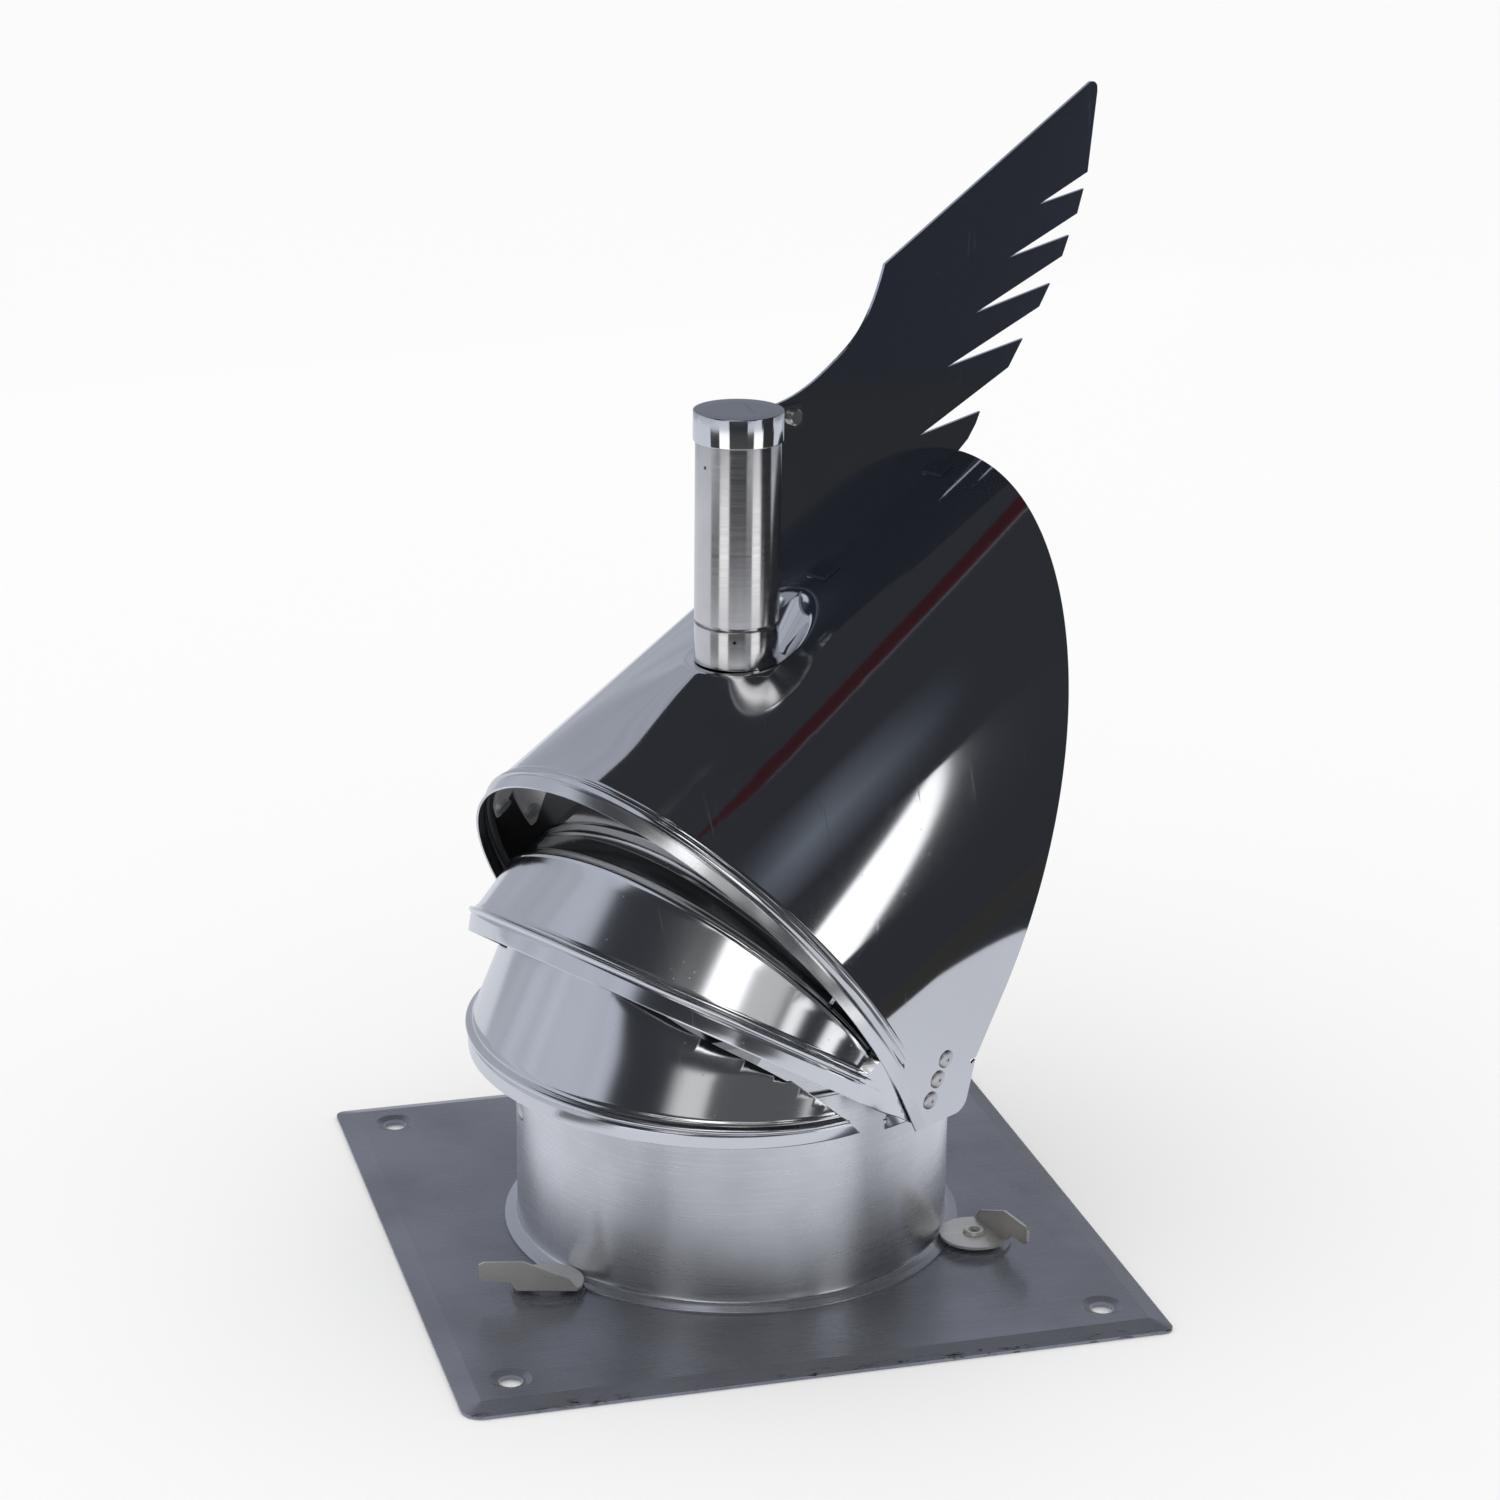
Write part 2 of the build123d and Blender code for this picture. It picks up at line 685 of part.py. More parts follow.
def riveted(piece, radius):
    """The piece with the cheek rivets' holes, at both cheeks."""
    with BuildPart() as drilled:
        add(piece)
        for mirrored in (False, True):
            with Locations([on_hood(a, d, radius, mirrored).location for a, d in cheek_rivets]):
                Cylinder(cheek_rivet_shank + rivet_gap, 6, mode=Mode.SUBTRACT)
    return drilled.part


def stepped(oval, step):
    """The oval drawn in by the step at the front and by a small share of it at the cheeks."""
    return (oval[0] - rim_cheek_share * step, oval[1] - step, oval[2])


def visor(lower, upper, tilt, u, z, body_outline, lip_outline, bead_start, wall_height, tab_radius, top_tilt):
    """One visor: band, bead and body shells, an optional lip, and riveted tabs at both cheeks."""
    reach = 1.6
    planes = [rim_plane(tilt, u, z, h) for h in (-0.5, visor_loft * reach)]
    start = between(lower, upper, -0.5 / visor_loft)
    end = between(lower, upper, reach)

    def solid(step, growth):
        return oval_solid(grown(stepped(start, step), growth), grown(stepped(end, step), growth), *planes)

    full, full_inner = solid(0, 0), solid(0, -sheet)
    body, body_inner = solid(rim_step, 0), solid(rim_step, -sheet)

    def rim(h0, h1, s0):
        return (offset_point(s0, h0), offset_point(150, h0), offset_point(150, h1), offset_point(s0, h1))

    def offset_point(s, h):
        return (u - s * cos(radians(tilt)) + h * sin(radians(tilt)), z + s * sin(radians(tilt)) + h * cos(radians(tilt)))

    rear = -12.0
    top = rim_band + rim_bead
    with BuildPart() as made_visor:
        add(shell(full, full_inner, rim(0, top, rear)))
        add(shell(full, body_inner, rim(top - sheet, top, rear)))
        add(shell(body, body_inner, rim(top - sheet, 80, rear)))
        with BuildSketch(side_plane):
            with BuildLine():
                Polyline(*body_outline, close=True)
            make_face()
        extrude(amount=2 * hood_radius, both=True, mode=Mode.INTERSECT)
        add(shell(solid(0, rim_bead_step), body_inner, rim(rim_band, top, bead_start)))
        if lip_outline:
            crown = [line_height(top_tilt, 30, -sheet), line_height(top_tilt, 150, -sheet),
                     line_height(top_tilt, 150, 0), line_height(top_tilt, 30, 0)]
            add(shell(body, solid(rim_step + lip_step, -sheet), crown))
            add(shell(solid(rim_step + lip_step, 0), solid(rim_step + lip_step, -sheet), lip_outline))
        wall = [wall_point(tab_bottom, wall_height), wall_point(tab_top, wall_height),
                wall_point(tab_top, wall_height + sheet), wall_point(tab_bottom, wall_height + sheet)]
        add(shell(hood_cylinder(tab_radius), body_inner, wall))
        tab = [wall_point(tab_bottom, wall_height), wall_point(tab_top, wall_height), (tab_heel, tab_top),
               (tab_foot, tab_bottom)]
        add(riveted(shell(hood_cylinder(tab_radius), hood_cylinder(tab_radius - sheet), tab), tab_radius))
    return made_visor


middle_tab_radius = hood_radius - sheet - tab_gap
bottom_tab_radius = middle_tab_radius - sheet - tab_gap
middle_lip_s = 28.0
middle_outline = (line_point(middle_tilt, 130), line_point(middle_tilt, 2), wall_point(tab_bottom, middle_tab_front),
                  wall_point(tab_bottom, middle_tab_front + sheet), wall_point(tab_top, middle_tab_front + sheet),
                  line_point(middle_lip_tilt, middle_lip_s), line_point(middle_crown_tilt, middle_lip_s + 4),
                  line_point(middle_crown_tilt, 150))
middle_lip_outline = (line_height(middle_crown_tilt, middle_lip_s + 4, -sheet),
                      line_height(middle_crown_tilt, 150, -sheet), line_point(middle_lip_tilt, 150),
                      line_point(middle_lip_tilt, middle_lip_s + 4))
middle_visor = visor(middle_oval, middle_top_oval, middle_tilt, 0, cheek_height, middle_outline,
                     middle_lip_outline, middle_bead_start, middle_tab_front, middle_tab_radius,
                     middle_crown_tilt)
keep(middle_visor, "middle_visor")

bottom_outline = ((-130, bottom_level), wall_point(bottom_level, bottom_tab_front + sheet),
                  wall_point(tab_top, bottom_tab_front + sheet), (wall_point(tab_top, bottom_tab_front)[0] - 3, tab_top),
                  line_point(bottom_crown_tilt, 24), line_point(bottom_crown_tilt, 150))
bottom_visor = visor(bottom_oval, bottom_top_oval, 0, 0, bottom_level, bottom_outline, (), bottom_bead_start,
                     bottom_tab_front, bottom_tab_radius, bottom_crown_tilt)
keep(bottom_visor, "bottom_visor")

cheek_grip = hood_radius - bottom_tab_radius + sheet + 0.05
cheek_rivet = made_rivet(cheek_rivet_shank, cheek_rivet_head, cheek_rivet_height, cheek_grip)
with BuildPart() as cheek_rivet_set:
    for mirrored in (False, True):
        with Locations([on_hood(a, d, hood_radius, mirrored).location for a, d in cheek_rivets]):
            add(cheek_rivet)
keep(cheek_rivet_set, "cheek_rivets")

# Wing: flat vane in the rotor's upright plane, its open edge cut by five notches
ridge_rise = tan(radians(hood_tilt))
ridge_base = hood_axis_height + hood_radius / cos(radians(hood_tilt))


def ridge(u, gap=0.0):
    return ridge_base + ridge_rise * u + gap


wing_front = max(tube_radius, ring_radius) + wing_gap
wing_cap_front = cap_radius + wing_gap
wing_rear_foot = 103.9
wing_outline = ((165.6, 382.2), (167.6, 382.0), (169.0, 380.8), (169.3, 378.6), (165.8, 350.6), (141.6, 342.2),
                (164.1, 344.9), (161.2, 336.5), (127.2, 325.4), (157.4, 329.3), (154.2, 322.3), (111.0, 308.2),
                (148.5, 313.4), (143.2, 305.8), (97.6, 291.2), (135.3, 295.6), (128.4, 286.4), (85.1, 269.2),
                (114.7, 272.8), (112.7, 268.8), (108.9, 263.9), (wing_rear_foot, ridge(wing_rear_foot, wing_gap)),
                (wing_front, ridge(wing_front, wing_gap)), (wing_front, tube_top - 1.0),
                (wing_cap_front, tube_top - 1.0), (wing_cap_front, cap_top - 1.2), (21.6, cap_top))
wing_throat = ((21.6, cap_top), (31.4, 295.1), (43.3, 301.5), (53.4, 308.8), (61.1, 319.5), (66.0, 331.2))
screw_u, screw_z = screw_place
with BuildPart() as wing:
    with BuildSketch(side_plane):
        with BuildLine():
            Polyline(*wing_outline)
            Spline(*wing_throat)
            Line(wing_throat[-1], wing_outline[0])
        make_face()
        with Locations((screw_u, screw_z)):
            Circle(screw_radius + thread_gap, mode=Mode.SUBTRACT)
    extrude(amount=wing_thickness / 2, both=True)
    for place, length in wing_tabs:
        with BuildSketch(side_plane):
            with BuildLine():
                Polyline((place - length / 2, ridge(place - length / 2, wing_gap)),
                         (place + length / 2, ridge(place + length / 2, wing_gap)),
                         (place + length / 2, ridge(place + length / 2, wing_gap + wing_thickness)),
                         (place - length / 2, ridge(place - length / 2, wing_gap + wing_thickness)), close=True)
            make_face()
        extrude(amount=wing_tab_width)
keep(wing, "wing")

# Lug on the cap with the screw and nut that hold the wing
lug_start = wing_thickness / 2
with BuildPart() as wing_lug:
    with BuildSketch(side_plane.offset(lug_start)):
        with Locations((cap_radius - 4, screw_z - lug_height / 2)):
            Rectangle(lug_reach - cap_radius + 4, lug_height, align=(Align.MIN, Align.MIN))
        with Locations((screw_u, screw_z)):
            Circle(screw_radius + thread_gap, mode=Mode.SUBTRACT)
    extrude(amount=lug_thickness)
    with BuildSketch(Plane.XY.offset(tube_top - 5)):
        Circle(cap_radius + wing_gap)
    extrude(amount=cap_height + 10, mode=Mode.SUBTRACT)
keep(wing_lug, "wing_lug")

with BuildPart() as wing_screw:
    with BuildSketch(side_plane.offset(lug_start + lug_thickness)):
        with Locations((screw_u, screw_z)):
            Circle(screw_head)
    extrude(amount=screw_head_height)
    chamfer(wing_screw.edges().sort_by(Axis(rotor_point(0, 0, 0), cheekward))[-1], 0.5)
    with BuildSketch(side_plane.offset(lug_start + lug_thickness)):
        with Locations((screw_u, screw_z)):
            Circle(screw_radius)
    extrude(amount=-(lug_thickness + wing_thickness + wing_nut_height + 1.0))
keep(wing_screw, "wing_screw")

with BuildPart() as wing_nut:
    with BuildSketch(side_plane.offset(-lug_start)):
        with Locations((screw_u, screw_z)):
            RegularPolygon(wing_nut_flats / 2, 6, major_radius=False)
            Circle(screw_radius + thread_gap, mode=Mode.SUBTRACT)
    extrude(amount=-wing_nut_height)
keep(wing_nut, "wing_nut")

# Turn latches: stepped spacer on the plate, folded disc with a thumb ear, and a flanged hollow rivet
spacer_top = plate_height + spacer_height
latch_level = spacer_top + latch_running_gap
with BuildPart() as latch_spacers:
    with Locations([(x, y, plate_height) for x, y in latch_places.values()]):
        Cylinder(spacer_radius, spacer_flange, align=(Align.CENTER, Align.CENTER, Align.MIN))
        Cylinder(spacer_boss, spacer_height, align=(Align.CENTER, Align.CENTER, Align.MIN))
        Cylinder(latch_rivet + rivet_gap, 3 * spacer_height, mode=Mode.SUBTRACT)
    Cylinder(foot_radius + foot_gap, 3 * plate_height, mode=Mode.SUBTRACT)
keep(latch_spacers, "latch_spacers")

fold_half = (latch_radius ** 2 - latch_chord ** 2) ** 0.5
fold_top = latch_level + latch_sheet
for side, angle in latch_angles.items():
    x, y = latch_places[side]
    turned = Plane(origin=(x, y, latch_level), x_dir=Vector(cos(radians(angle + latch_turn)),
                                                          sin(radians(angle + latch_turn)), 0), z_dir=(0, 0, 1))
    outward = turned.x_dir
    along = turned.y_dir
    flap_plane = Plane(origin=turned.origin + outward * latch_chord, x_dir=along, z_dir=outward)
    with BuildPart() as latch:
        with BuildSketch(turned):
            Circle(latch_radius)
            with Locations((latch_chord, 0)):
                Rectangle(latch_radius, 2 * latch_radius, align=(Align.MIN, Align.CENTER), mode=Mode.SUBTRACT)
            Circle(latch_rivet + latch_running_gap, mode=Mode.SUBTRACT)
        extrude(amount=latch_sheet)
        with BuildSketch(flap_plane):
            with BuildLine():
                Polyline((-fold_half, 0), (-fold_half, latch_sheet), (-fold_half - 2.4, latch_sheet + 2.7),
                         (-latch_ear + 1.8, latch_sheet + 3.0), (-latch_ear, latch_sheet + 4.5),
                         (-latch_ear, latch_sheet + latch_height - 1.1),
                         (-latch_ear + 1.8, latch_sheet + latch_height - 0.2),
                         (-8.0, latch_sheet + latch_height), (7.0, latch_sheet + 3.9), (fold_half, latch_sheet),
                         (fold_half, 0), close=True)
            make_face()
        extrude(amount=latch_sheet)
        fold = latch.edges().filter_by(lambda e: abs(e.length - 2 * fold_half) < 0.01)
        fillet(fold.sort_by(Axis((0, 0, 0), outward))[-1:].sort_by(Axis.Z)[:1], latch_sheet * 0.9)
    keep(latch, f"{side}_latch")

rivet_head_level = fold_top + latch_running_gap
rivet_tail_level = plate_height - plate_sheet
with BuildPart() as latch_rivets:
    with BuildPart(mode=Mode.PRIVATE) as pin:
        with BuildSketch(Plane.XZ):
            with BuildLine():
                Polyline((latch_rivet_bore, rivet_tail_level - latch_rivet_tail), (latch_rivet + 0.9, rivet_tail_level -
                         latch_rivet_tail), (latch_rivet + 0.9, rivet_tail_level), (latch_rivet, rivet_tail_level),
                         (latch_rivet, rivet_head_level), (latch_rivet_head, rivet_head_level),
                         (latch_rivet_head, rivet_head_level + 0.4),
                         (latch_rivet_head - 0.7, rivet_head_level + latch_rivet_height),
                         (latch_rivet_bore + 1.0, rivet_head_level + latch_rivet_height),
                         (latch_rivet_bore, rivet_head_level + 0.3), close=True)
            make_face()
        revolve(axis=Axis.Z)
    with Locations([(x, y, 0) for x, y in latch_places.values()]):
        add(pin.part)
keep(latch_rivets, "latch_rivets")
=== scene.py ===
import math

import bmesh
import bpy
from mathutils import Matrix, Vector


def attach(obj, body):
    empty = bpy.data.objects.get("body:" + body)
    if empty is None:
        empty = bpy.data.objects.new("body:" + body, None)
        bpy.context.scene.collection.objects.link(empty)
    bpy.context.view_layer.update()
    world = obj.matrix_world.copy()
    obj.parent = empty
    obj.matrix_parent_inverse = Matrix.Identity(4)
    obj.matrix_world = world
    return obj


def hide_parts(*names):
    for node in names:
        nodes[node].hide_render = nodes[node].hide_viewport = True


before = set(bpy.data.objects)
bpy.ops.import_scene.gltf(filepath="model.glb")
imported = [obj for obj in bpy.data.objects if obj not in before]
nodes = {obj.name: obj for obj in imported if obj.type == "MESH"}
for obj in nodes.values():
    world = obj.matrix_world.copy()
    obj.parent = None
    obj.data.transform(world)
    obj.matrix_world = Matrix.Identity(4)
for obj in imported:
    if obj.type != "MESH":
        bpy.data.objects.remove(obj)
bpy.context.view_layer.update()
print("frame loaded:", len(nodes), "nodes")

mm = 0.001
sheet = 0.8                    # rotor and neck sheet, mm
heading = math.radians(27.5)   # which way the hood's open side points
leeward = Vector((math.cos(heading), math.sin(heading), 0))
cheekward = Vector((math.sin(heading), -math.cos(heading), 0))
upward = Vector((0, 0, 1))


def place(u, v, z):
    # u leeward, v towards the near cheek, z up, in mm
    return (leeward * u + cheekward * v + upward * z) * mm


def deselectAll():
    if bpy.context.object and bpy.context.object.mode != "OBJECT":
        bpy.ops.object.mode_set(mode="OBJECT")
    bpy.ops.object.select_all(action="DESELECT")


def activate(piece):
    deselectAll()
    piece.select_set(True)
    bpy.context.view_layer.objects.active = piece


def pickFaces(piece, where):
    # edit mode, with the faces whose centre passes the test selected
    activate(piece)
    bpy.ops.object.mode_set(mode="EDIT")
    bpy.ops.mesh.select_mode(type="FACE")
    bpy.ops.mesh.select_all(action="DESELECT")
    grid = bmesh.from_edit_mesh(piece.data)
    for face in grid.faces:
        face.select_set(where is None or where(face.calc_center_median()))
    bmesh.update_edit_mesh(piece.data)


def setRing(piece, ring):
    # moves the selected loop of vertices to the ring's places, each by the turn that it keeps
    grid = bmesh.from_edit_mesh(piece.data)
    turn = grid.verts.layers.float["turn"]
    for vert in grid.verts:
        if vert.select:
            vert.co = ring(vert[turn])
    bmesh.update_edit_mesh(piece.data)


def stackRings(name, rings, segments=192):
    # a circle, extruded ring by ring; every ring gives the place at a turn from -pi to pi
    deselectAll()
    bpy.ops.mesh.primitive_circle_add(vertices=segments, radius=1.0, location=(0, 0, 0))
    piece = bpy.context.object
    piece.name = piece.data.name = name
    bpy.ops.object.mode_set(mode="EDIT")
    bpy.ops.mesh.select_mode(type="VERT")
    bpy.ops.mesh.select_all(action="SELECT")
    grid = bmesh.from_edit_mesh(piece.data)
    turn = grid.verts.layers.float.new("turn")
    for vert in grid.verts:
        vert[turn] = math.atan2(vert.co.y, vert.co.x)
    setRing(piece, rings[0])
    for ring in rings[1:]:
        bpy.ops.mesh.extrude_region_move()
        setRing(piece, ring)
    bpy.ops.object.mode_set(mode="OBJECT")
    return piece


def cutSheet(piece, point, normal, where=None, clear=True):
    # takes off what lies on the normal's side of the plane, or with clear=False only scores a line
    pickFaces(piece, where)
    bpy.ops.mesh.bisect(plane_co=point, plane_no=normal, clear_outer=clear, threshold=1e-7)
    bpy.ops.object.mode_set(mode="OBJECT")


def openClean(piece):
    # edit mode, with doubled vertices merged and all faces turned the same way
    activate(piece)
    bpy.ops.object.mode_set(mode="EDIT")
    bpy.ops.mesh.select_all(action="SELECT")
    bpy.ops.mesh.remove_doubles(threshold=1e-6)
    bpy.ops.mesh.normals_make_consistent(inside=False)


def faceOutwards(piece, centre):
    # sets every face to look away from the centre, which follows from the face's own place
    openClean(piece)
    grid = bmesh.from_edit_mesh(piece.data)
    way = 0.0
    for face in grid.faces:
        middle = face.calc_center_median()
        way += (middle - centre(middle)).dot(face.normal) * face.calc_area()
    if way < 0:
        bpy.ops.mesh.flip_normals()
    bpy.ops.object.mode_set(mode="OBJECT")


def modify(piece, kind, **settings):
    activate(piece)
    modifier = piece.modifiers.new(kind.lower(), kind)
    for key, value in settings.items():
        setattr(modifier, key, value)
    bpy.ops.object.modifier_apply(modifier=modifier.name)


def thicken(piece, edge=0.12, smooth=35, lining=None, inner=0, rounds=2):
    # gives the sheet its thickness inwards and softens its cut edges; lining is the outer and the inner finish
    if lining:
        inner = 1
        for finish in lining:
            piece.data.materials.append(finish)
    modify(piece, "SOLIDIFY", thickness=sheet * mm, offset=-1, use_even_offset=True, use_rim=True,
           material_offset=inner)
    if edge:
        modify(piece, "BEVEL", width=edge * mm, segments=rounds, limit_method="ANGLE",
               angle_limit=math.radians(60))
    activate(piece)
    bpy.ops.object.shade_smooth_by_angle(angle=math.radians(smooth))


def joinPieces(pieces, name):
    deselectAll()
    for piece in pieces:
        piece.select_set(True)
    bpy.context.view_layer.objects.active = pieces[0]
    bpy.ops.object.join()
    pieces[0].name = pieces[0].data.name = name
    return pieces[0]


def finishPiece(piece, body, material, slot, *replaced):
    if not piece.data.materials:
        piece.data.materials.append(material)
    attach(piece, body)
    if replaced:
        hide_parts(*replaced)


def dress(node, material):
    # a CAD node keeps its shape and takes a material
    piece = nodes[node]
    for slot in piece.material_slots:
        slot.material = material
    if not piece.material_slots:
        piece.data.materials.append(material)


def lathed(profile):
    # rings for a turned piece from its profile of radius and height, in mm
    def ring(radius, height):
        return lambda turn: Vector((radius * math.cos(turn), radius * math.sin(turn), height)) * mm
    return [ring(max(radius, 0.001), height) for radius, height in profile]


def roundCorner(profile, radius, steps=4):
    # the profile with each inner corner rounded
    points = [Vector(point) for point in profile]
    rounded = [points[0]]
    for before, corner, after in zip(points, points[1:], points[2:]):
        reach = min(radius, (before - corner).length * 0.45, (after - corner).length * 0.45)
        start = corner + (before - corner).normalized() * reach
        end = corner + (after - corner).normalized() * reach
        for step in range(steps + 1):
            share = step / steps
            rounded.append(start * (1 - share) ** 2 + corner * 2 * share * (1 - share) + end * share ** 2)
    rounded.append(points[-1])
    return [tuple(point) for point in rounded]


# finishes


def newGroup(name, inputs, outputs):
    group = bpy.data.node_groups.new(name, "ShaderNodeTree")
    for socketName, kind, default in inputs:
        socket = group.interface.new_socket(name=socketName, in_out="INPUT", socket_type=kind)
        if default is not None:
            socket.default_value = default
    for socketName, kind in outputs:
        group.interface.new_socket(name=socketName, in_out="OUTPUT", socket_type=kind)
    return group, group.nodes.new("NodeGroupInput"), group.nodes.new("NodeGroupOutput")


class Wiring:
    # short ways to add and join nodes in one tree
    def __init__(self, tree):
        self.tree = tree

    def add(self, kind, **settings):
        node = self.tree.nodes.new(kind)
        for key, value in settings.items():
            if hasattr(node, key):
                setattr(node, key, value)
            else:
                node.inputs[key.replace("_", " ")].default_value = value
        return node

    def join(self, start, end):
        self.tree.links.new(start, end)

    def math(self, operation, first, second=None, clamp=False):
        node = self.add("ShaderNodeMath", operation=operation, use_clamp=clamp)
        for socket, value in zip(node.inputs, (first, second)):
            if value is None:
                continue
            if isinstance(value, (int, float)):
                socket.default_value = value
            else:
                self.join(value, socket)
        return node.outputs[0]

    def group(self, tree, **settings):
        node = self.add("ShaderNodeGroup")
        node.node_tree = tree
        for key, value in settings.items():
            node.inputs[key].default_value = value
        return node

    def bump(self, height, distance, normal=None, strength=1.0):
        node = self.add("ShaderNodeBump", Strength=strength, Distance=distance)
        self.join(height, node.inputs["Height"])
        if normal:
            self.join(normal, node.inputs["Normal"])
        return node.outputs["Normal"]

    def noise(self, vector, scale, detail=2.0, rough=0.5):
        node = self.add("ShaderNodeTexNoise", Scale=scale, Detail=detail, Roughness=rough)
        self.join(vector, node.inputs["Vector"])
        return node.outputs["Fac"]

    def stretch(self, vector, scale, turn=(0, 0, 0)):
        node = self.add("ShaderNodeMapping", Scale=scale, Rotation=turn)
        self.join(vector, node.inputs["Vector"])
        return node.outputs["Vector"]

    def spread(self, value, low, high, newLow=0.0, newHigh=1.0):
        node = self.add("ShaderNodeMapRange", clamp=True)
        self.join(value, node.inputs["Value"])
        limits = {"From Min": low, "From Max": high, "To Min": newLow, "To Max": newHigh}
        for key, number in limits.items():
            node.inputs[key].default_value = number
        return node.outputs["Result"]

    def mix(self, factor, first, second):
        node = self.add("ShaderNodeMix", data_type="RGBA")
        self.join(factor, node.inputs["Factor"])
        for socket, value in ((node.inputs[6], first), (node.inputs[7], second)):
            if isinstance(value, tuple):
                socket.default_value = value
            else:
                self.join(value, socket)
        return node.outputs[2]


def makeScratchGroup():
    # fine straight marks in a few directions, as cloths and handling leave them
    group, source, result = newGroup("handlingMarks", [("Density", "NodeSocketFloat", 0.5)],
                                     [("Marks", "NodeSocketFloat"), ("Height", "NodeSocketFloat")])
    wires = Wiring(group)
    spot = wires.add("ShaderNodeTexCoord").outputs["Object"]
    strokes = (((0.3, 0.2, 0.9), (900, 14, 40)), ((1.2, 0.7, 2.1), (700, 10, 30)),
               ((0.5, 1.9, 0.2), (820, 12, 26)))
    total = None
    for turn, scale in strokes:
        field = wires.noise(wires.stretch(spot, scale, turn), 1.0, 1.0)
        line = wires.spread(field, 0.71, 0.75)
        patch = wires.spread(wires.noise(wires.stretch(spot, (1, 1, 1), turn), 38.0, 1.0), 0.5, 0.62)
        line = wires.math("MULTIPLY", line, patch)
        total = line if total is None else wires.math("MAXIMUM", total, line)
    total = wires.math("MULTIPLY", total, source.outputs["Density"], clamp=True)
    wires.join(total, result.inputs["Marks"])
    wires.join(wires.math("MULTIPLY", total, -1.0), result.inputs["Height"])
    return group


def makeWaveGroup():
    # slow unevenness of rolled sheet
    group, source, result = newGroup("sheetWaves", [("Size", "NodeSocketFloat", 9.0)],
                                     [("Height", "NodeSocketFloat")])
    wires = Wiring(group)
    spot = wires.add("ShaderNodeTexCoord").outputs["Object"]
    slow = wires.add("ShaderNodeTexNoise", Detail=1.0, Roughness=0.4)
    wires.join(spot, slow.inputs["Vector"])
    wires.join(source.outputs["Size"], slow.inputs["Scale"])
    wires.join(slow.outputs["Fac"], result.inputs["Height"])
    return group


def makeDustGroup():
    # small round specks, here and there
    group, source, result = newGroup("dustSpecks", [("Amount", "NodeSocketFloat", 0.5)],
                                     [("Mask", "NodeSocketFloat")])
    wires = Wiring(group)
    spot = wires.add("ShaderNodeTexCoord").outputs["Object"]
    cells = wires.add("ShaderNodeTexVoronoi", Scale=420.0)
    wires.join(spot, cells.inputs["Vector"])
    speck = wires.spread(cells.outputs["Distance"], 0.16, 0.07)
    some = wires.spread(wires.noise(spot, 110.0, 0.0), 0.60, 0.66)
    mask = wires.math("MULTIPLY", wires.math("MULTIPLY", speck, some), source.outputs["Amount"])
    wires.join(mask, result.inputs["Mask"])
    return group


def makeGrainGroup():
    # brushed grain: fine lines across the given direction
    group, source, result = newGroup("brushedGrain", [("Vector", "NodeSocketVector", None)],
                                     [("Grain", "NodeSocketFloat"), ("Blotch", "NodeSocketFloat")])
    wires = Wiring(group)
    fine = wires.noise(source.outputs["Vector"], 1.0, 3.0, 0.6)
    spot = wires.add("ShaderNodeTexCoord").outputs["Object"]
    wires.join(fine, result.inputs["Grain"])
    wires.join(wires.noise(spot, 22.0, 3.0), result.inputs["Blotch"])
    return group


scratchGroup = makeScratchGroup()
waveGroup = makeWaveGroup()
dustGroup = makeDustGroup()
grainGroup = makeGrainGroup()


def addDentShade(wires, spot, shadedDents):
    # small dents in the turned surface, as a mask for the painted shade in them
    mask = None
    for dentPlace in shadedDents:
        gap = wires.add("ShaderNodeVectorMath", operation="DISTANCE")
        wires.join(spot, gap.inputs[0])
        gap.inputs[1].default_value = dentPlace
        dentShade = wires.spread(gap.outputs["Value"], 0.0008, 0.0003)
        mask = dentShade if mask is None else wires.math("MAXIMUM", mask, dentShade)
    return mask


def addScuff(wires, spot, front):
    # finish rubbed off here and there along the front edge, as a mask
    parts = wires.add("ShaderNodeSeparateXYZ")
    wires.join(spot, parts.inputs[0])
    edge = wires.spread(parts.outputs["Y"], front + 0.0022, front + 0.0008)
    rub = wires.spread(wires.noise(wires.stretch(spot, (160, 500, 500)), 1.0, 3.0, 0.7), 0.55, 0.62)
    some = wires.spread(wires.noise(wires.stretch(spot, (30, 1, 1)), 1.0, 1.0), 0.42, 0.56)
    return wires.math("MULTIPLY", wires.math("MULTIPLY", edge, rub), some)


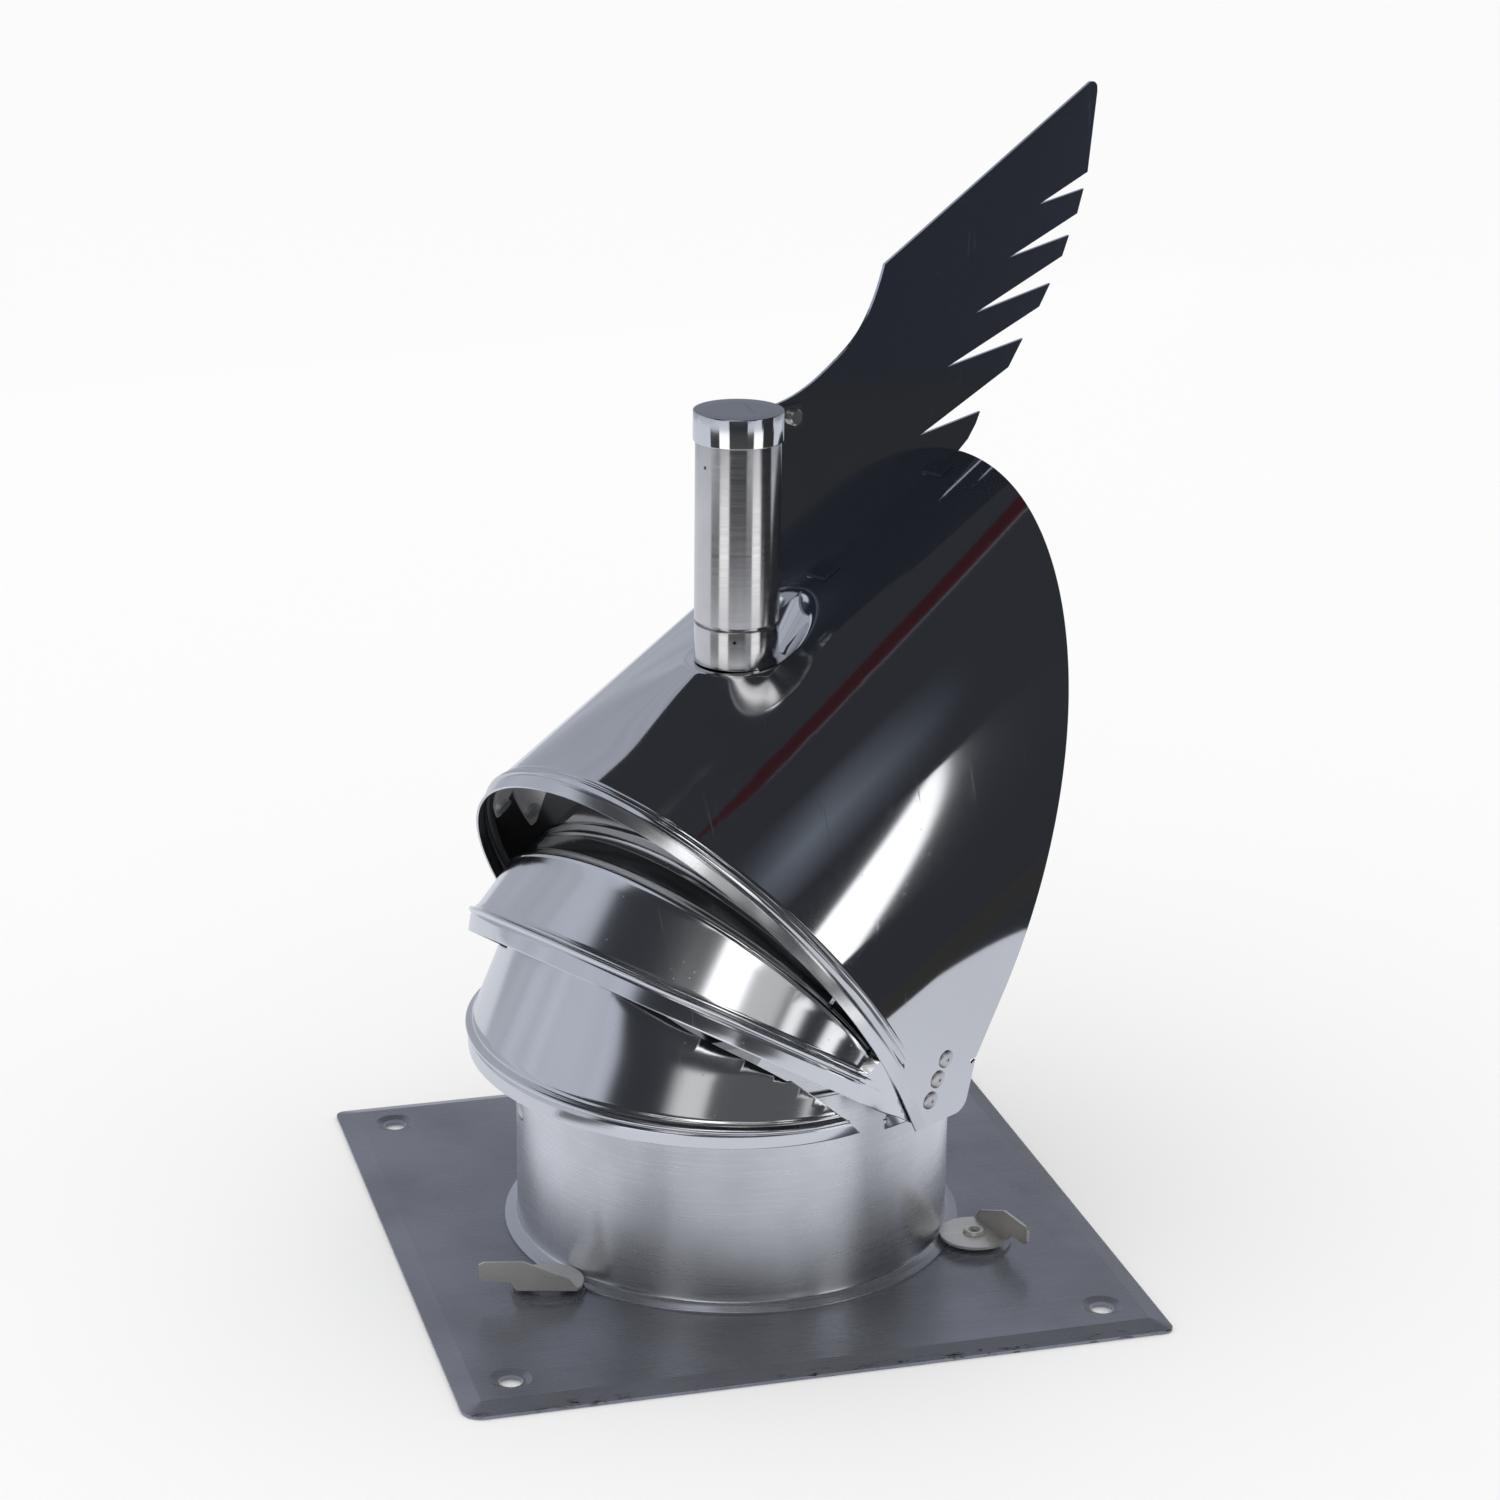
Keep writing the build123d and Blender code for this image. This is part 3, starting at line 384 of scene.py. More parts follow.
def makeMetal(name, color, rough, grain=None, marks=0.3, dust=0.0, waves=0.0, waveSize=9.0, grainBump=0.0,
              grainRough=0.0, blotch=0.0, aniso=0.0, metal=1.0, shadedDents=(), scuff=None, rings=0.0):
    material = bpy.data.materials.new(name)
    material.use_nodes = True
    tree = material.node_tree
    wires = Wiring(tree)
    shader = next(node for node in tree.nodes if node.type == "BSDF_PRINCIPLED")
    shader.inputs["Metallic"].default_value = metal
    if aniso:
        # lathe lines run round the axis, so highlights stretch along it
        tangent = wires.add("ShaderNodeTangent", direction_type="RADIAL", axis="Z")
        wires.join(tangent.outputs[0], shader.inputs["Tangent"])
        shader.inputs["Anisotropic"].default_value = aniso
        shader.inputs["Anisotropic Rotation"].default_value = 0.25
    spot = wires.add("ShaderNodeTexCoord").outputs["Object"]

    # roughness: the finish, its grain, handling marks and dust
    scratches = wires.group(scratchGroup, Density=marks)
    roughness = wires.spread(scratches.outputs["Marks"], 0, 1, rough, min(rough + 0.25, 1))
    if grain:
        lines = wires.group(grainGroup)
        wires.join(wires.stretch(spot, grain), lines.inputs["Vector"])
        change = wires.spread(lines.outputs["Grain"], 0.3, 0.7, -grainRough, grainRough)
        roughness = wires.math("ADD", roughness, change)
    if dust:
        specks = wires.group(dustGroup, Amount=dust)
        veil = wires.math("MULTIPLY", specks.outputs["Mask"], 0.5)
        roughness = wires.math("ADD", roughness, veil, clamp=True)
    wires.join(roughness, shader.inputs["Roughness"])

    # colour: a faint wash or the grain's blotches, then painted shade in dents and scuffed wear, both near
    # black
    if grain and blotch:
        shade = wires.spread(lines.outputs["Blotch"], 0.35, 0.65, 1 - blotch, 1 + blotch)
        wash, depth = wires.spread(shade, 1 - blotch, 1 + blotch), 0.8
    else:
        wash, depth = wires.spread(wires.noise(spot, 14.0, 3.0), 0.3, 0.7), 0.93
    deeper = tuple(c * depth for c in color) + (1.0,)
    tone = wires.mix(wash, deeper, tuple(color) + (1.0,))
    scuffsAndDentShade = addDentShade(wires, spot, shadedDents) if scuff is None else addScuff(wires, spot, scuff)
    if scuffsAndDentShade is not None:
        # near black for the painted shade in dents and for the scuffs
        tone = wires.mix(scuffsAndDentShade, tone, (0.03, 0.03, 0.03, 1.0))
    wires.join(tone, shader.inputs["Base Color"])

    # relief: slow waves, grain, turning marks and scratches, one over the other
    normal = None
    if waves:
        slow = wires.group(waveGroup, Size=waveSize)
        normal = wires.bump(slow.outputs["Height"], waves * mm)
    if grain and grainBump:
        normal = wires.bump(lines.outputs["Grain"], grainBump * mm, normal)
    if rings:
        wave = wires.add("ShaderNodeTexWave", wave_type="RINGS", rings_direction="Z", Scale=260.0,
                         Distortion=0.4)
        wires.join(spot, wave.inputs["Vector"])
        normal = wires.bump(wave.outputs["Fac"], rings * mm, normal)
    normal = wires.bump(scratches.outputs["Height"], 0.006 * mm, normal, 0.5)
    wires.join(normal, shader.inputs["Normal"])
    return material


# two dents that the photo shows on the tube and on its ring, m
tubeShadedDents = ((-0.01292, -0.00606, 0.2745), (-0.00446, -0.01356, 0.2163))

polished = makeMetal("polishedSheet", (0.66, 0.67, 0.69), 0.06, marks=0.22, dust=0.2, waves=0.25, waveSize=7.0)
# the wing is the hood's steel, painted darker and bluer as the dark reflection it shows
wingPolishPaintedDark = makeMetal("wingSheetPaintedDark", (0.54, 0.58, 0.66), 0.08, marks=0.25, dust=0.25, waves=0.12, waveSize=6.0)
visorSheet = makeMetal("visorSheet", (0.74, 0.75, 0.77), 0.14, marks=0.35, dust=0.3, waves=0.2, waveSize=9.0)
neckSheet = makeMetal("neckSheet", (0.82, 0.83, 0.85), 0.28, grain=(25, 25, 900), marks=0.03, waves=0.2,
                      waveSize=11.0, grainBump=0.0008, grainRough=0.015, blotch=0.03, aniso=0.85)
# its two dents are painted near black, as shade
tubeSteel = makeMetal("turnedTube", (0.68, 0.67, 0.67), 0.20, grain=(30, 30, 1400), marks=0.2,
                      grainBump=0.001, grainRough=0.04, blotch=0.08, aniso=0.8, shadedDents=tubeShadedDents)
capSteel = makeMetal("turnedCap", (0.70, 0.71, 0.74), 0.10, marks=0.3, dust=0.2, waves=0.03, waveSize=40,
                     aniso=0.7)
plateSteel = makeMetal("plateSheet", (0.235, 0.245, 0.285), 0.29, grain=(40, 900, 40), marks=0.3, dust=0.1,
                       grainBump=0.002, grainRough=0.04, blotch=0.05, metal=0.6, scuff=-0.1192)
latchSteel = makeMetal("latchSheet", (0.66, 0.645, 0.62), 0.32, grain=(40, 700, 300), marks=0.2,
                       grainBump=0.001, grainRough=0.05, blotch=0.08, metal=0.75)
rivetSteel = makeMetal("rivetSteel", (0.66, 0.66, 0.66), 0.40, marks=0.1)
zincSteel = makeMetal("zincPlate", (0.62, 0.62, 0.60), 0.28, marks=0.4)
bandSheet = makeMetal("bandSheet", (0.80, 0.81, 0.83), 0.22, grain=(2200, 2200, 2200), marks=0.15,
                      grainBump=0.0005, grainRough=0.03, blotch=0.04)
# the neck's foot: the same sheet painted darker as shade, with a smoother finish
footSheetShaded = makeMetal("footSheetShaded", (0.50, 0.52, 0.57), 0.22, marks=0.1, metal=0.85)
hoopSheet = makeMetal("hoopSheet", (0.66, 0.66, 0.66), 0.38, marks=0.2, metal=0.55)
capTopSteel = makeMetal("capTop", (0.24, 0.25, 0.29), 0.30, marks=0.3, rings=0.004)
# near black on the inner sides of the hood and the visors: painted shade
paintedShadeSheet = makeMetal("paintedShadeSheet", (0.045, 0.045, 0.045), 0.30, marks=0.1, waves=0.2)
innerSteel = makeMetal("innerSteel", (0.45, 0.45, 0.47), 0.30, marks=0.3)
brass = makeMetal("cageBrass", (0.72, 0.58, 0.30), 0.28, marks=0.3)
print("materials made:", len(bpy.data.materials))

# hood

hood = {
    "radius": 94.35, "tilt": math.radians(25.6), "axisHeight": 105.7, "segments": 288,
    "frontTilt": math.radians(56.5), "frontFoot": (-1.3, 65.9), "reach": 290.0,
    "fineStep": 1.5, "fineTo": 14.0, "step": 4.0,
    "bandSide": 93.7, "bandReach": 93.4, "bandFade": 5.0, "bandFinish": 4.5, "beadEnd": 26.5,
    "rearFoot": -9.7, "rearSlope": 0.439, "cheekKnee": 83.0, "cheekRear": 25.0, "cheekBottom": 63.5,
    "cheekCorner": 5.0, "cornerNear": 9.0, "flatFrom": math.radians(100.0),
    "seatHeight": 206.3, "seatRadius": 16.5, "skirt": math.radians(33.0), "dish": math.radians(55.0),
    "pressed": 47.0, "pressedEdge": 6.0, "pressedFloor": 150.0,
}
hoodAlong = leeward * math.cos(hood["tilt"]) + upward * math.sin(hood["tilt"])
hoodUp = upward * math.cos(hood["tilt"]) - leeward * math.sin(hood["tilt"])
hoodMiddle = upward * hood["axisHeight"] * mm


def hoodAxisPoint(spot):
    # nearest place on the hood's axis
    return hoodMiddle + hoodAlong * (spot - hoodMiddle).dot(hoodAlong)


def rimNormal(tilt):
    return leeward * math.sin(tilt) + upward * math.cos(tilt)


def rimForward(tilt):
    return upward * math.sin(tilt) - leeward * math.cos(tilt)


def frontPlane(height=0.0):
    # the plane of the hood's front edge, or one this far behind it: a place and its normal
    normal = rimNormal(hood["frontTilt"])
    return place(hood["frontFoot"][0], 0, hood["frontFoot"][1]) + normal * height * mm, normal


def wayOut(turn):
    # out of the hood's tube at this turn from its top
    return hoodUp * math.cos(turn) + cheekward * math.sin(turn)


def ease(low, high, value):
    share = min(max((value - low) / (high - low), 0.0), 1.0)
    return share * share * (3 - 2 * share)


def sectionRadius(radius, turn):
    # the section runs on straight down the cheeks
    return radius / math.cos(min(max(abs(turn) - hood["flatFrom"], 0.0), 1.3))


def halfWidthAt(u, z, radius):
    # half width of the hood's section at a place on its side
    drop = (z - hood["axisHeight"] - math.tan(hood["tilt"]) * u) * math.cos(hood["tilt"])
    bend = hood["flatFrom"] - math.pi / 2
    if drop > -radius * math.sin(bend):
        return math.sqrt(max(radius ** 2 - drop ** 2, 1.0))
    return radius * math.cos(bend) + (drop + radius * math.sin(bend)) * math.tan(bend)


def hoodSpot(turn, height):
    # place on the tube at this turn and this far behind the front plane, and the way out of it
    foot, normal = frontPlane()
    outward = wayOut(turn)
    start = hoodMiddle + outward * sectionRadius(hood["radius"], turn) * mm
    along = ((foot - start).dot(normal) + height * mm) / hoodAlong.dot(normal)
    return start + hoodAlong * along, outward


def frontRise(spot):
    # distance up the front plane from the cheek, mm
    return (spot - frontPlane()[0]).dot(rimForward(hood["frontTilt"])) / mm


# height behind the front plane, lift out of the tube's surface: band, groove, bead and its two steps
hoodRim = [(0.0, 0.0), (0.5, 0.02), (1.6, 0.03), (3.2, 0.03), (4.3, 0.02), (4.6, -0.15), (4.8, -0.28),
           (5.0, -0.22), (5.2, 0.05), (5.5, 0.42), (5.9, 0.75), (6.3, 0.86), (6.7, 0.78), (7.1, 0.5),
           (7.4, 0.22), (7.6, 0.12), (7.9, 0.3), (8.2, 0.42), (8.5, 0.36), (8.8, 0.16), (9.1, 0.0), (9.6, 0.0)]


def hoodRing(height, lift):
    forward = rimForward(hood["frontTilt"])
    foot, normal = frontPlane()
    centre = hoodMiddle + hoodAlong * ((foot - hoodMiddle).dot(normal) + height * mm) / hoodAlong.dot(normal)
    middle = frontRise(centre)
    fullReach = hood["radius"] / math.sin(hood["frontTilt"] + hood["tilt"])

    def ring(turn):
        spot, outward = hoodSpot(turn, height)
        rise = frontRise(spot)
        share = ease(hood["beadEnd"], hood["beadEnd"] + 3.0, rise)
        # below the bead the band draws in from the tube's own oval
        draw = ease(hood["beadEnd"] - 12, hood["beadEnd"] + 6, rise) * max(1 - height / hood["bandFade"], 0.0)
        inReach = (rise - middle) * (hood["bandReach"] / fullReach - 1) * draw
        inSide = spot.dot(cheekward) * (hood["bandSide"] / hood["radius"] - 1) * draw
        return spot + (outward * lift * share + forward * inReach) * mm + cheekward * inSide
    return ring


def makeHood():
    rings = [hoodRing(height, lift) for height, lift in hoodRim]
    height = hoodRim[-1][0]
    while height < hood["reach"]:
        height += hood["step"] if height > hood["fineTo"] else hood["fineStep"]
        rings.append(hoodRing(height, 0.0))
    piece = stackRings("hoodShell", rings, hood["segments"])
    cutCheeks(piece)
    pressSeat(piece)
    faceOutwards(piece, hoodAxisPoint)
    # mirror finish, painted shade inside, and a softer finish on the band with painted shade inside it too
    for finish in (polished, paintedShadeSheet, bandSheet, paintedShadeSheet):
        piece.data.materials.append(finish)
    front, normal = frontPlane()
    for face in piece.data.polygons:
        if (face.center - front).dot(normal) < hood["bandFinish"] * mm:
            face.material_index = 2
    # one step on the cut edges, so that the mirror finish stays true up to them
    thicken(piece, inner=1, rounds=1)
    return piece


def cutCheeks(piece):
    # what hangs below the cheeks and behind the rear edge comes off
    bottom, knee = hood["cheekBottom"], hood["cheekKnee"]
    cutSheet(piece, place(0, 0, bottom), (0, 0, -1))
    cutSheet(piece, place(0, 0, knee), (0, 0, 1), clear=False)
    rearNormal = leeward - upward * hood["rearSlope"]
    cutSheet(piece, place(hood["rearFoot"], 0, 0), rearNormal, where=lambda c: c.z > knee * mm)
    kneeU = hood["rearFoot"] + hood["rearSlope"] * knee
    cheekNormal = leeward - upward * (kneeU - hood["cheekRear"]) / (knee - bottom)
    cutSheet(piece, place(hood["cheekRear"], 0, bottom), cheekNormal, where=lambda c: c.z < knee * mm)
    # the lower rear corner is rounded by a few cuts
    corner = hood["cheekCorner"]
    centreU, centreZ = hood["cheekRear"] - corner + 0.4, bottom + corner
    for angle in (-75, -60, -45, -30, -15):
        normal = leeward * math.cos(math.radians(angle)) + upward * math.sin(math.radians(angle))
        cutSheet(piece, place(centreU, 0, centreZ) + normal * corner * mm, normal,
                 where=lambda c: c.z < (bottom + hood["cornerNear"]) * mm
                 and c.dot(leeward) > (centreU - hood["cornerNear"]) * mm)


def softMax(a, b, blend):
    # the larger of two values, rounded over where they cross
    share = max(blend - abs(a - b), 0.0) / blend
    return max(a, b) + share * share * blend / 4


def seatHeightAt(x, y):
    # height of the pressed seat's sheet over the ground place x, y, in mm
    u = x * leeward.x + y * leeward.y
    v = x * cheekward.x + y * cheekward.y
    tube = (hood["axisHeight"] + u * math.tan(hood["tilt"])
            + math.sqrt(max(hood["radius"] ** 2 - v * v, 0)) / math.cos(hood["tilt"]))
    out = math.hypot(u, v) - hood["seatRadius"]
    skirt = hood["seatHeight"] - out * math.tan(hood["skirt"])
    dish = hood["seatHeight"] + out * math.tan(hood["dish"])
    skirt = -softMax(-skirt, -hood["seatHeight"], 1.2)
    dish = softMax(dish, hood["seatHeight"], 1.2)
    height = softMax(tube, skirt, 2.2)
    return -softMax(-height, -dish, 1.6)


def pressSeat(piece):
    near, floor = hood["pressed"] * mm, hood["pressedFloor"] * mm
    pickFaces(piece, lambda c: math.hypot(c.x, c.y) < near and c.z > floor)
    bpy.ops.mesh.subdivide(number_cuts=3)
    bpy.ops.object.mode_set(mode="OBJECT")
    for vert in piece.data.vertices:
        if math.hypot(vert.co.x, vert.co.y) < near + hood["pressedEdge"] * mm and vert.co.z > floor:
            vert.co.z = seatHeightAt(vert.co.x / mm, vert.co.y / mm) * mm


hoodShell = makeHood()
finishPiece(hoodShell, "rotor", polished, "mirror_steel", "hood")
print("hood:", len(hoodShell.data.polygons), "faces")

# visors

# each oval: half width, reach of the nose and its centre's forward place, at the rim's edge, over the band
# and 40 mm up
middleVisor = {
    "name": "middleVisorShell", "node": "middle_visor", "tilt": math.radians(33.0), "edge": (0.0, 65.9),
    "edgeOval": (90.2, 59.5, 33.2), "low": (91.0, 56.5, 37.9), "high": (89.4, 62.8, 25.6), "bandDrop": 0.9,
    "crown": math.radians(55.4), "lip": math.radians(59.7), "beadStart": 9.0, "wall": 3.5, "tabRadius": 93.45,
}
bottomVisor = {
    "name": "bottomVisorShell", "node": "bottom_visor", "tilt": 0.0, "edge": (0.0, 68.9),
    "edgeOval": (85.8, 76.0, 14.6), "low": (87.4, 72.0, 17.0), "high": (84.8, 73.4, -0.7), "bandDrop": 0.0,
    "crown": math.radians(45.0), "hinge": (-25.0, 71.5), "lip": None, "beadStart": 6.0, "wall": 5.6,
    "tabRadius": 92.55, "dip": 4.6, "dipAt": 46.0, "dipWidth": 24.0,
}
# what both shells share: how far back they run, the band's height, where they spread to meet the hood
visorShell = {"segments": 288, "bandTop": 7.1, "wallTop": 40.0, "wallLean": -1.6, "beadRun": 14.0,
              "tail": 46.0, "underHood": 1.15, "meetFrom": 1.5, "meetTo": 26.0, "flapFrom": -16.0,
              "wallUpTo": 58.0, "back": 12.0}
wallHeights = (10.0, 12.0, 15.0, 19.0, 24.0, 30.0, 37.0, 45.0, 54.0)
# lines across the middle visor's crown, from it, and the run and rise of each fold of its turned-in lip
crownLines = (-2.0, -1.4, -0.9, -0.3, 0.0, 0.3, 0.7, 1.1, 1.6, 2.4)
lipFolds = ((0.7, -0.5), (2.2, -0.1), (0.8, 0.6), (0.8, -0.6), (2.6, 0.0), (0.8, 0.6), (0.8, -0.6), (22.0, 0.0))
visorTab = {"bottom": 68.9, "top": 89.5, "foot": 14.6, "heel": 22.3, "joggle": 3.0}
# height above the edge, lift out of the band's oval
visorRim = [(0.0, 0.0), (0.4, 0.03), (2.0, 0.05), (3.8, 0.05), (4.5, 0.02), (4.8, -0.18), (5.0, -0.25),
            (5.2, -0.05), (5.4, 0.28), (5.8, 0.58), (6.2, 0.68), (6.6, 0.58), (6.9, 0.3), (7.1, 0.0),
            (7.3, -0.6), (7.5, -1.15), (7.7, -1.32), (8.0, -1.25), (8.4, -1.25), (8.7, -1.4), (9.0, -1.6)]


def visorOval(visor, height):
    # the band is upright, the wall over it leans back
    bandTop = visorShell["bandTop"]
    if height < bandTop:
        share, ends = height / bandTop, (visor["edgeOval"], visor["low"])
    else:
        share = (height - bandTop) / (visorShell["wallTop"] - bandTop)
        ends = (visor["low"], visor["high"])
    return [low + (high - low) * share for low, high in zip(*ends)]


def visorRing(visor, height, lift):
    forward, normal = rimForward(visor["tilt"]), rimNormal(visor["tilt"])
    width, reach, offset = visorOval(visor, height)
    foot = place(visor["edge"][0], 0, visor["edge"][1])
    hoodFoot, hoodNormal = frontPlane()
    sink = visor["bandDrop"] * max(1 - height / 4.0, 0.0)
    meetFrom, meetTo = visorShell["meetFrom"], visorShell["meetTo"]

    def ring(turn):
        # half an ellipse round the nose, then straight back
        if abs(turn) <= math.pi / 2:
            along, across = offset + reach * math.cos(turn), width * math.sin(turn)
            out = Vector((math.cos(turn) / reach, math.sin(turn) / width)).normalized()
        else:
            along = offset - (abs(turn) - math.pi / 2) * visorShell["tail"]
            across, out = math.copysign(width, turn), Vector((0, math.copysign(1.0, turn)))
        # the bead and the step run out before the cheeks
        fade = ease(visor["beadStart"], visor["beadStart"] + visorShell["beadRun"], along)
        amount = lift if lift > 0 and height < 5 else lift * (0.15 + 0.85 * fade)
        along, across = along + out.x * amount, across + out.y * amount
        spot = foot + (forward * along + normal * (height - sink * fade)) * mm
        # near the hood's edge the shell spreads to meet it
        depth = (hoodFoot - spot).dot(hoodNormal) / mm
        meet = halfWidthAt(spot.dot(leeward) / mm, spot.z / mm, hood["radius"]) - visorShell["underHood"]
        if depth < meetTo and along < offset:
            across += (math.copysign(meet, across) - across) * (1 - ease(meetFrom, meetTo, depth))
        return spot + cheekward * across * mm
    return ring


def linePlane(angle):
    # plane through the cheeks' line, at this angle up from level towards the front: a place and its normal
    return place(0, 0, hood["frontFoot"][1]), rimNormal(angle)


def makeVisor(visor):
    rings = [visorRing(visor, height, lift) for height, lift in visorRim]
    rings += [visorRing(visor, height, visorShell["wallLean"]) for height in wallHeights]
    piece = stackRings(visor["name"], rings, visorShell["segments"])
    point, normal = linePlane(visor["lip"] or visor["crown"])
    if "hinge" in visor:
        point = place(visor["hinge"][0], 0, visor["hinge"][1])
    cutVisor(piece, visor, point, normal)
    if visor["lip"]:
        crownPoint, crownNormal = linePlane(visor["crown"])
        for offset in crownLines:
            cutSheet(piece, crownPoint + crownNormal * offset * mm, crownNormal,
                     where=lambda c: c.dot(leeward) < -12 * mm, clear=False)
        stepLip(piece, crownPoint, crownNormal)
        turnLipIn(piece, point, normal)
    else:
        dipTopEdge(piece, visor, point)
    faceOutwards(piece, visorInside)
    # the visor's inner side is painted near black, as shade
    thicken(piece, lining=(visorSheet, paintedShadeSheet))
    tabs = makeVisorTabs(visor)
    return joinPieces([piece, tabs], visor["name"])


def cutVisor(piece, visor, point, normal):
    # the top plane spares the flaps low at the cheeks, the hood's front plane ends the walls, the back is open
    flapTop, flapFrom = visorTab["top"], visorShell["flapFrom"]
    cutSheet(piece, place(0, 0, flapTop), (0, 0, 1), clear=False)
    cutSheet(piece, place(flapFrom, 0, 0), leeward, clear=False)
    cutSheet(piece, point, normal, where=lambda c: not (c.z < flapTop * mm and c.dot(leeward) > flapFrom * mm))
    cutSheet(piece, *frontPlane(visor["wall"]), where=lambda c: frontRise(c) < visorShell["wallUpTo"])
    cutSheet(piece, place(visorShell["back"], 0, 0), leeward)


def dipTopEdge(piece, visor, point):
    # the top edge sinks a little on the near side, so that a dark gap opens under the middle visor
    for vert in piece.data.vertices:
        behind = (vert.co - point).dot(leeward)
        top = (point.z - behind * math.tan(visor["crown"])) / mm
        share = ease(90, max(top, 91), vert.co.z / mm)
        aside = (vert.co.dot(cheekward) / mm - visor["dipAt"]) / visor["dipWidth"]
        dip = visor["dip"] * math.exp(-aside ** 2) * ease(30, 48, -vert.co.dot(leeward) / mm)
        vert.co.z -= dip * share * mm


def stepLip(piece, point, normal):
    # a small rolled edge at the crown, then a step inwards to the lip
    for vert in piece.data.vertices:
        above = (vert.co - point).dot(normal) / mm
        ahead = -vert.co.dot(leeward) / mm
        if above < -2.2 or ahead < 12:
            continue
        fade = ease(14, 34, ahead)
        bead = 0.35 * math.exp(-((above + 0.7) / 0.6) ** 2)
        step = -1.5 * ease(0.0, 1.1, above)
        flat = Vector((vert.co.x, vert.co.y, 0)).normalized()
        vert.co += flat * (bead + step) * fade * mm


def visorInside(spot):
    # a place inside the shell, for telling its two sides apart
    return upward * (spot.z - 0.03) if spot.z > 0.12 else upward * spot.z


def turnLipIn(piece, point, normal):
    # the lip's sheet turns in along the hood's axis, with two pressed lines
    pickFaces(piece, lambda c: False)
    bpy.ops.mesh.select_mode(type="EDGE")
    grid = bmesh.from_edit_mesh(piece.data)
    for edge in grid.edges:
        onLip = all((vert.co - point).dot(normal) > -2.2 * mm for vert in edge.verts)
        ahead = all(-vert.co.dot(leeward) > 20 * mm for vert in edge.verts)
        edge.select_set(edge.is_boundary and onLip and ahead)
    bmesh.update_edit_mesh(piece.data)
    for run, rise in lipFolds:
        bpy.ops.mesh.extrude_region_move()
        grid = bmesh.from_edit_mesh(piece.data)
        for vert in grid.verts:
            if vert.select:
                outward = (vert.co - hoodAxisPoint(vert.co)).normalized()
                vert.co += (hoodAlong * run + outward * rise) * mm
        bmesh.update_edit_mesh(piece.data)
    bpy.ops.object.mode_set(mode="OBJECT")


def makeVisorTabs(visor):
    # sheet under the hood's cheek, joggled out from the visor
    def ring(along):
        def spot(turn):
            reach = sectionRadius(visor["tabRadius"], turn)
            return hoodMiddle + (hoodAlong * along + wayOut(turn) * reach) * mm
        return spot
    bottom, top = visorTab["bottom"], visorTab["top"]
    tab = stackRings(visor["name"] + "Tabs", [ring(-40 + 4 * step) for step in range(24)])
    cutSheet(tab, place(0, 0, top), (0, 0, 1))
    cutSheet(tab, place(0, 0, bottom), (0, 0, -1))
    point, normal = frontPlane(visor["wall"])
    cutSheet(tab, point, -normal)
    slope = (visorTab["heel"] - visorTab["foot"]) / (top - bottom)
    cutSheet(tab, place(visorTab["foot"], 0, bottom), leeward - upward * slope)
    faceOutwards(tab, hoodAxisPoint)
    thicken(tab, edge=0)
    # the joggle itself: a narrow wall across at the end of each tab
    walls = [tab]
    for side in (1, -1):
        deselectAll()
        bpy.ops.mesh.primitive_grid_add(x_subdivisions=1, y_subdivisions=20, size=1)
        wall = bpy.context.object
        for vert in wall.data.vertices:
            level = bottom + (top - bottom) * (vert.co.y + 0.5)
            along = (level - point.z / mm) / math.sin(hood["frontTilt"])
            u = point.dot(leeward) / mm - along * math.cos(hood["frontTilt"])
            v = halfWidthAt(u, level, visor["tabRadius"]) - (0.1 if vert.co.x > 0 else visorTab["joggle"])
            vert.co = place(u, side * v, level)
        faceOutwards(wall, lambda c: c + leeward)
        thicken(wall, edge=0)
        walls.append(wall)
    return joinPieces(walls, visor["name"] + "Tabs")


for visor in (middleVisor, bottomVisor):
    piece = makeVisor(visor)
    finishPiece(piece, "rotor", visorSheet, "bright_steel", visor["node"])
    print(visor["name"] + ":", len(piece.data.polygons), "faces")

# neck

neck = {"radius": 75.0, "top": 80.0, "foot": 79.5, "plate": 3.0, "bead": 1.2, "footFinishAndShade": 2.6,
        "levels": (8, 14, 24, 36, 48, 60, 70, 76), "segments": 256}


def makeNeck():
    low, radius, bead = neck["plate"], neck["radius"], neck["bead"]
    foot = neck["foot"]
    profile = roundCorner([(foot, low + 0.05), (foot, low + 0.9), (foot - 2.4, low + 1.35),
                           (radius + 0.3, low + 2.5), (radius, low + 3.3)], 0.8)
    profile += [(radius, level) for level in neck["levels"]]
    # the top edge curls outwards
    top = neck["top"] - bead
    for degrees in range(0, 271, 30):
        angle = math.radians(degrees)
        profile.append((radius + bead * math.sin(angle), top - bead * math.cos(angle)))
    piece = stackRings("neckShell", lathed(profile), neck["segments"])
    faceOutwards(piece, lambda c: Vector((0, 0, c.z)))
    piece.data.materials.append(neckSheet)
    piece.data.materials.append(footSheetShaded)
    # below this height the foot is painted darker, as shade
    for face in piece.data.polygons:
        face.material_index = 1 if face.center.z < (low + neck["footFinishAndShade"]) * mm else 0
    thicken(piece, edge=0.1)
    return piece


neckShell = makeNeck()
finishPiece(neckShell, "base", neckSheet, "bright_steel", "neck")
print("neck:", len(neckShell.data.polygons), "faces")

# tube, ring and cap

bearing = {"ringBase": 206.3, "ringTop": 219.6, "tubeFoot": 220.8, "tubeTop": 281.9, "capTop": 291.9,
           "ring": 14.2, "tube": 14.27, "cap": 15.05, "bore": 13.0, "spigot": 12.9, "hole": 9.0,
           "shoulder": 10.5, "below": 2.8, "capWall": 11.0, "capPlug": 11.8, "capDeep": 5.0}


def turned(name, profile, segments=160, smooth=40):
    piece = stackRings(name, lathed(profile), segments)
    openClean(piece)
    bpy.ops.object.mode_set(mode="OBJECT")
    bpy.ops.object.shade_smooth_by_angle(angle=math.radians(smooth))
    return piece


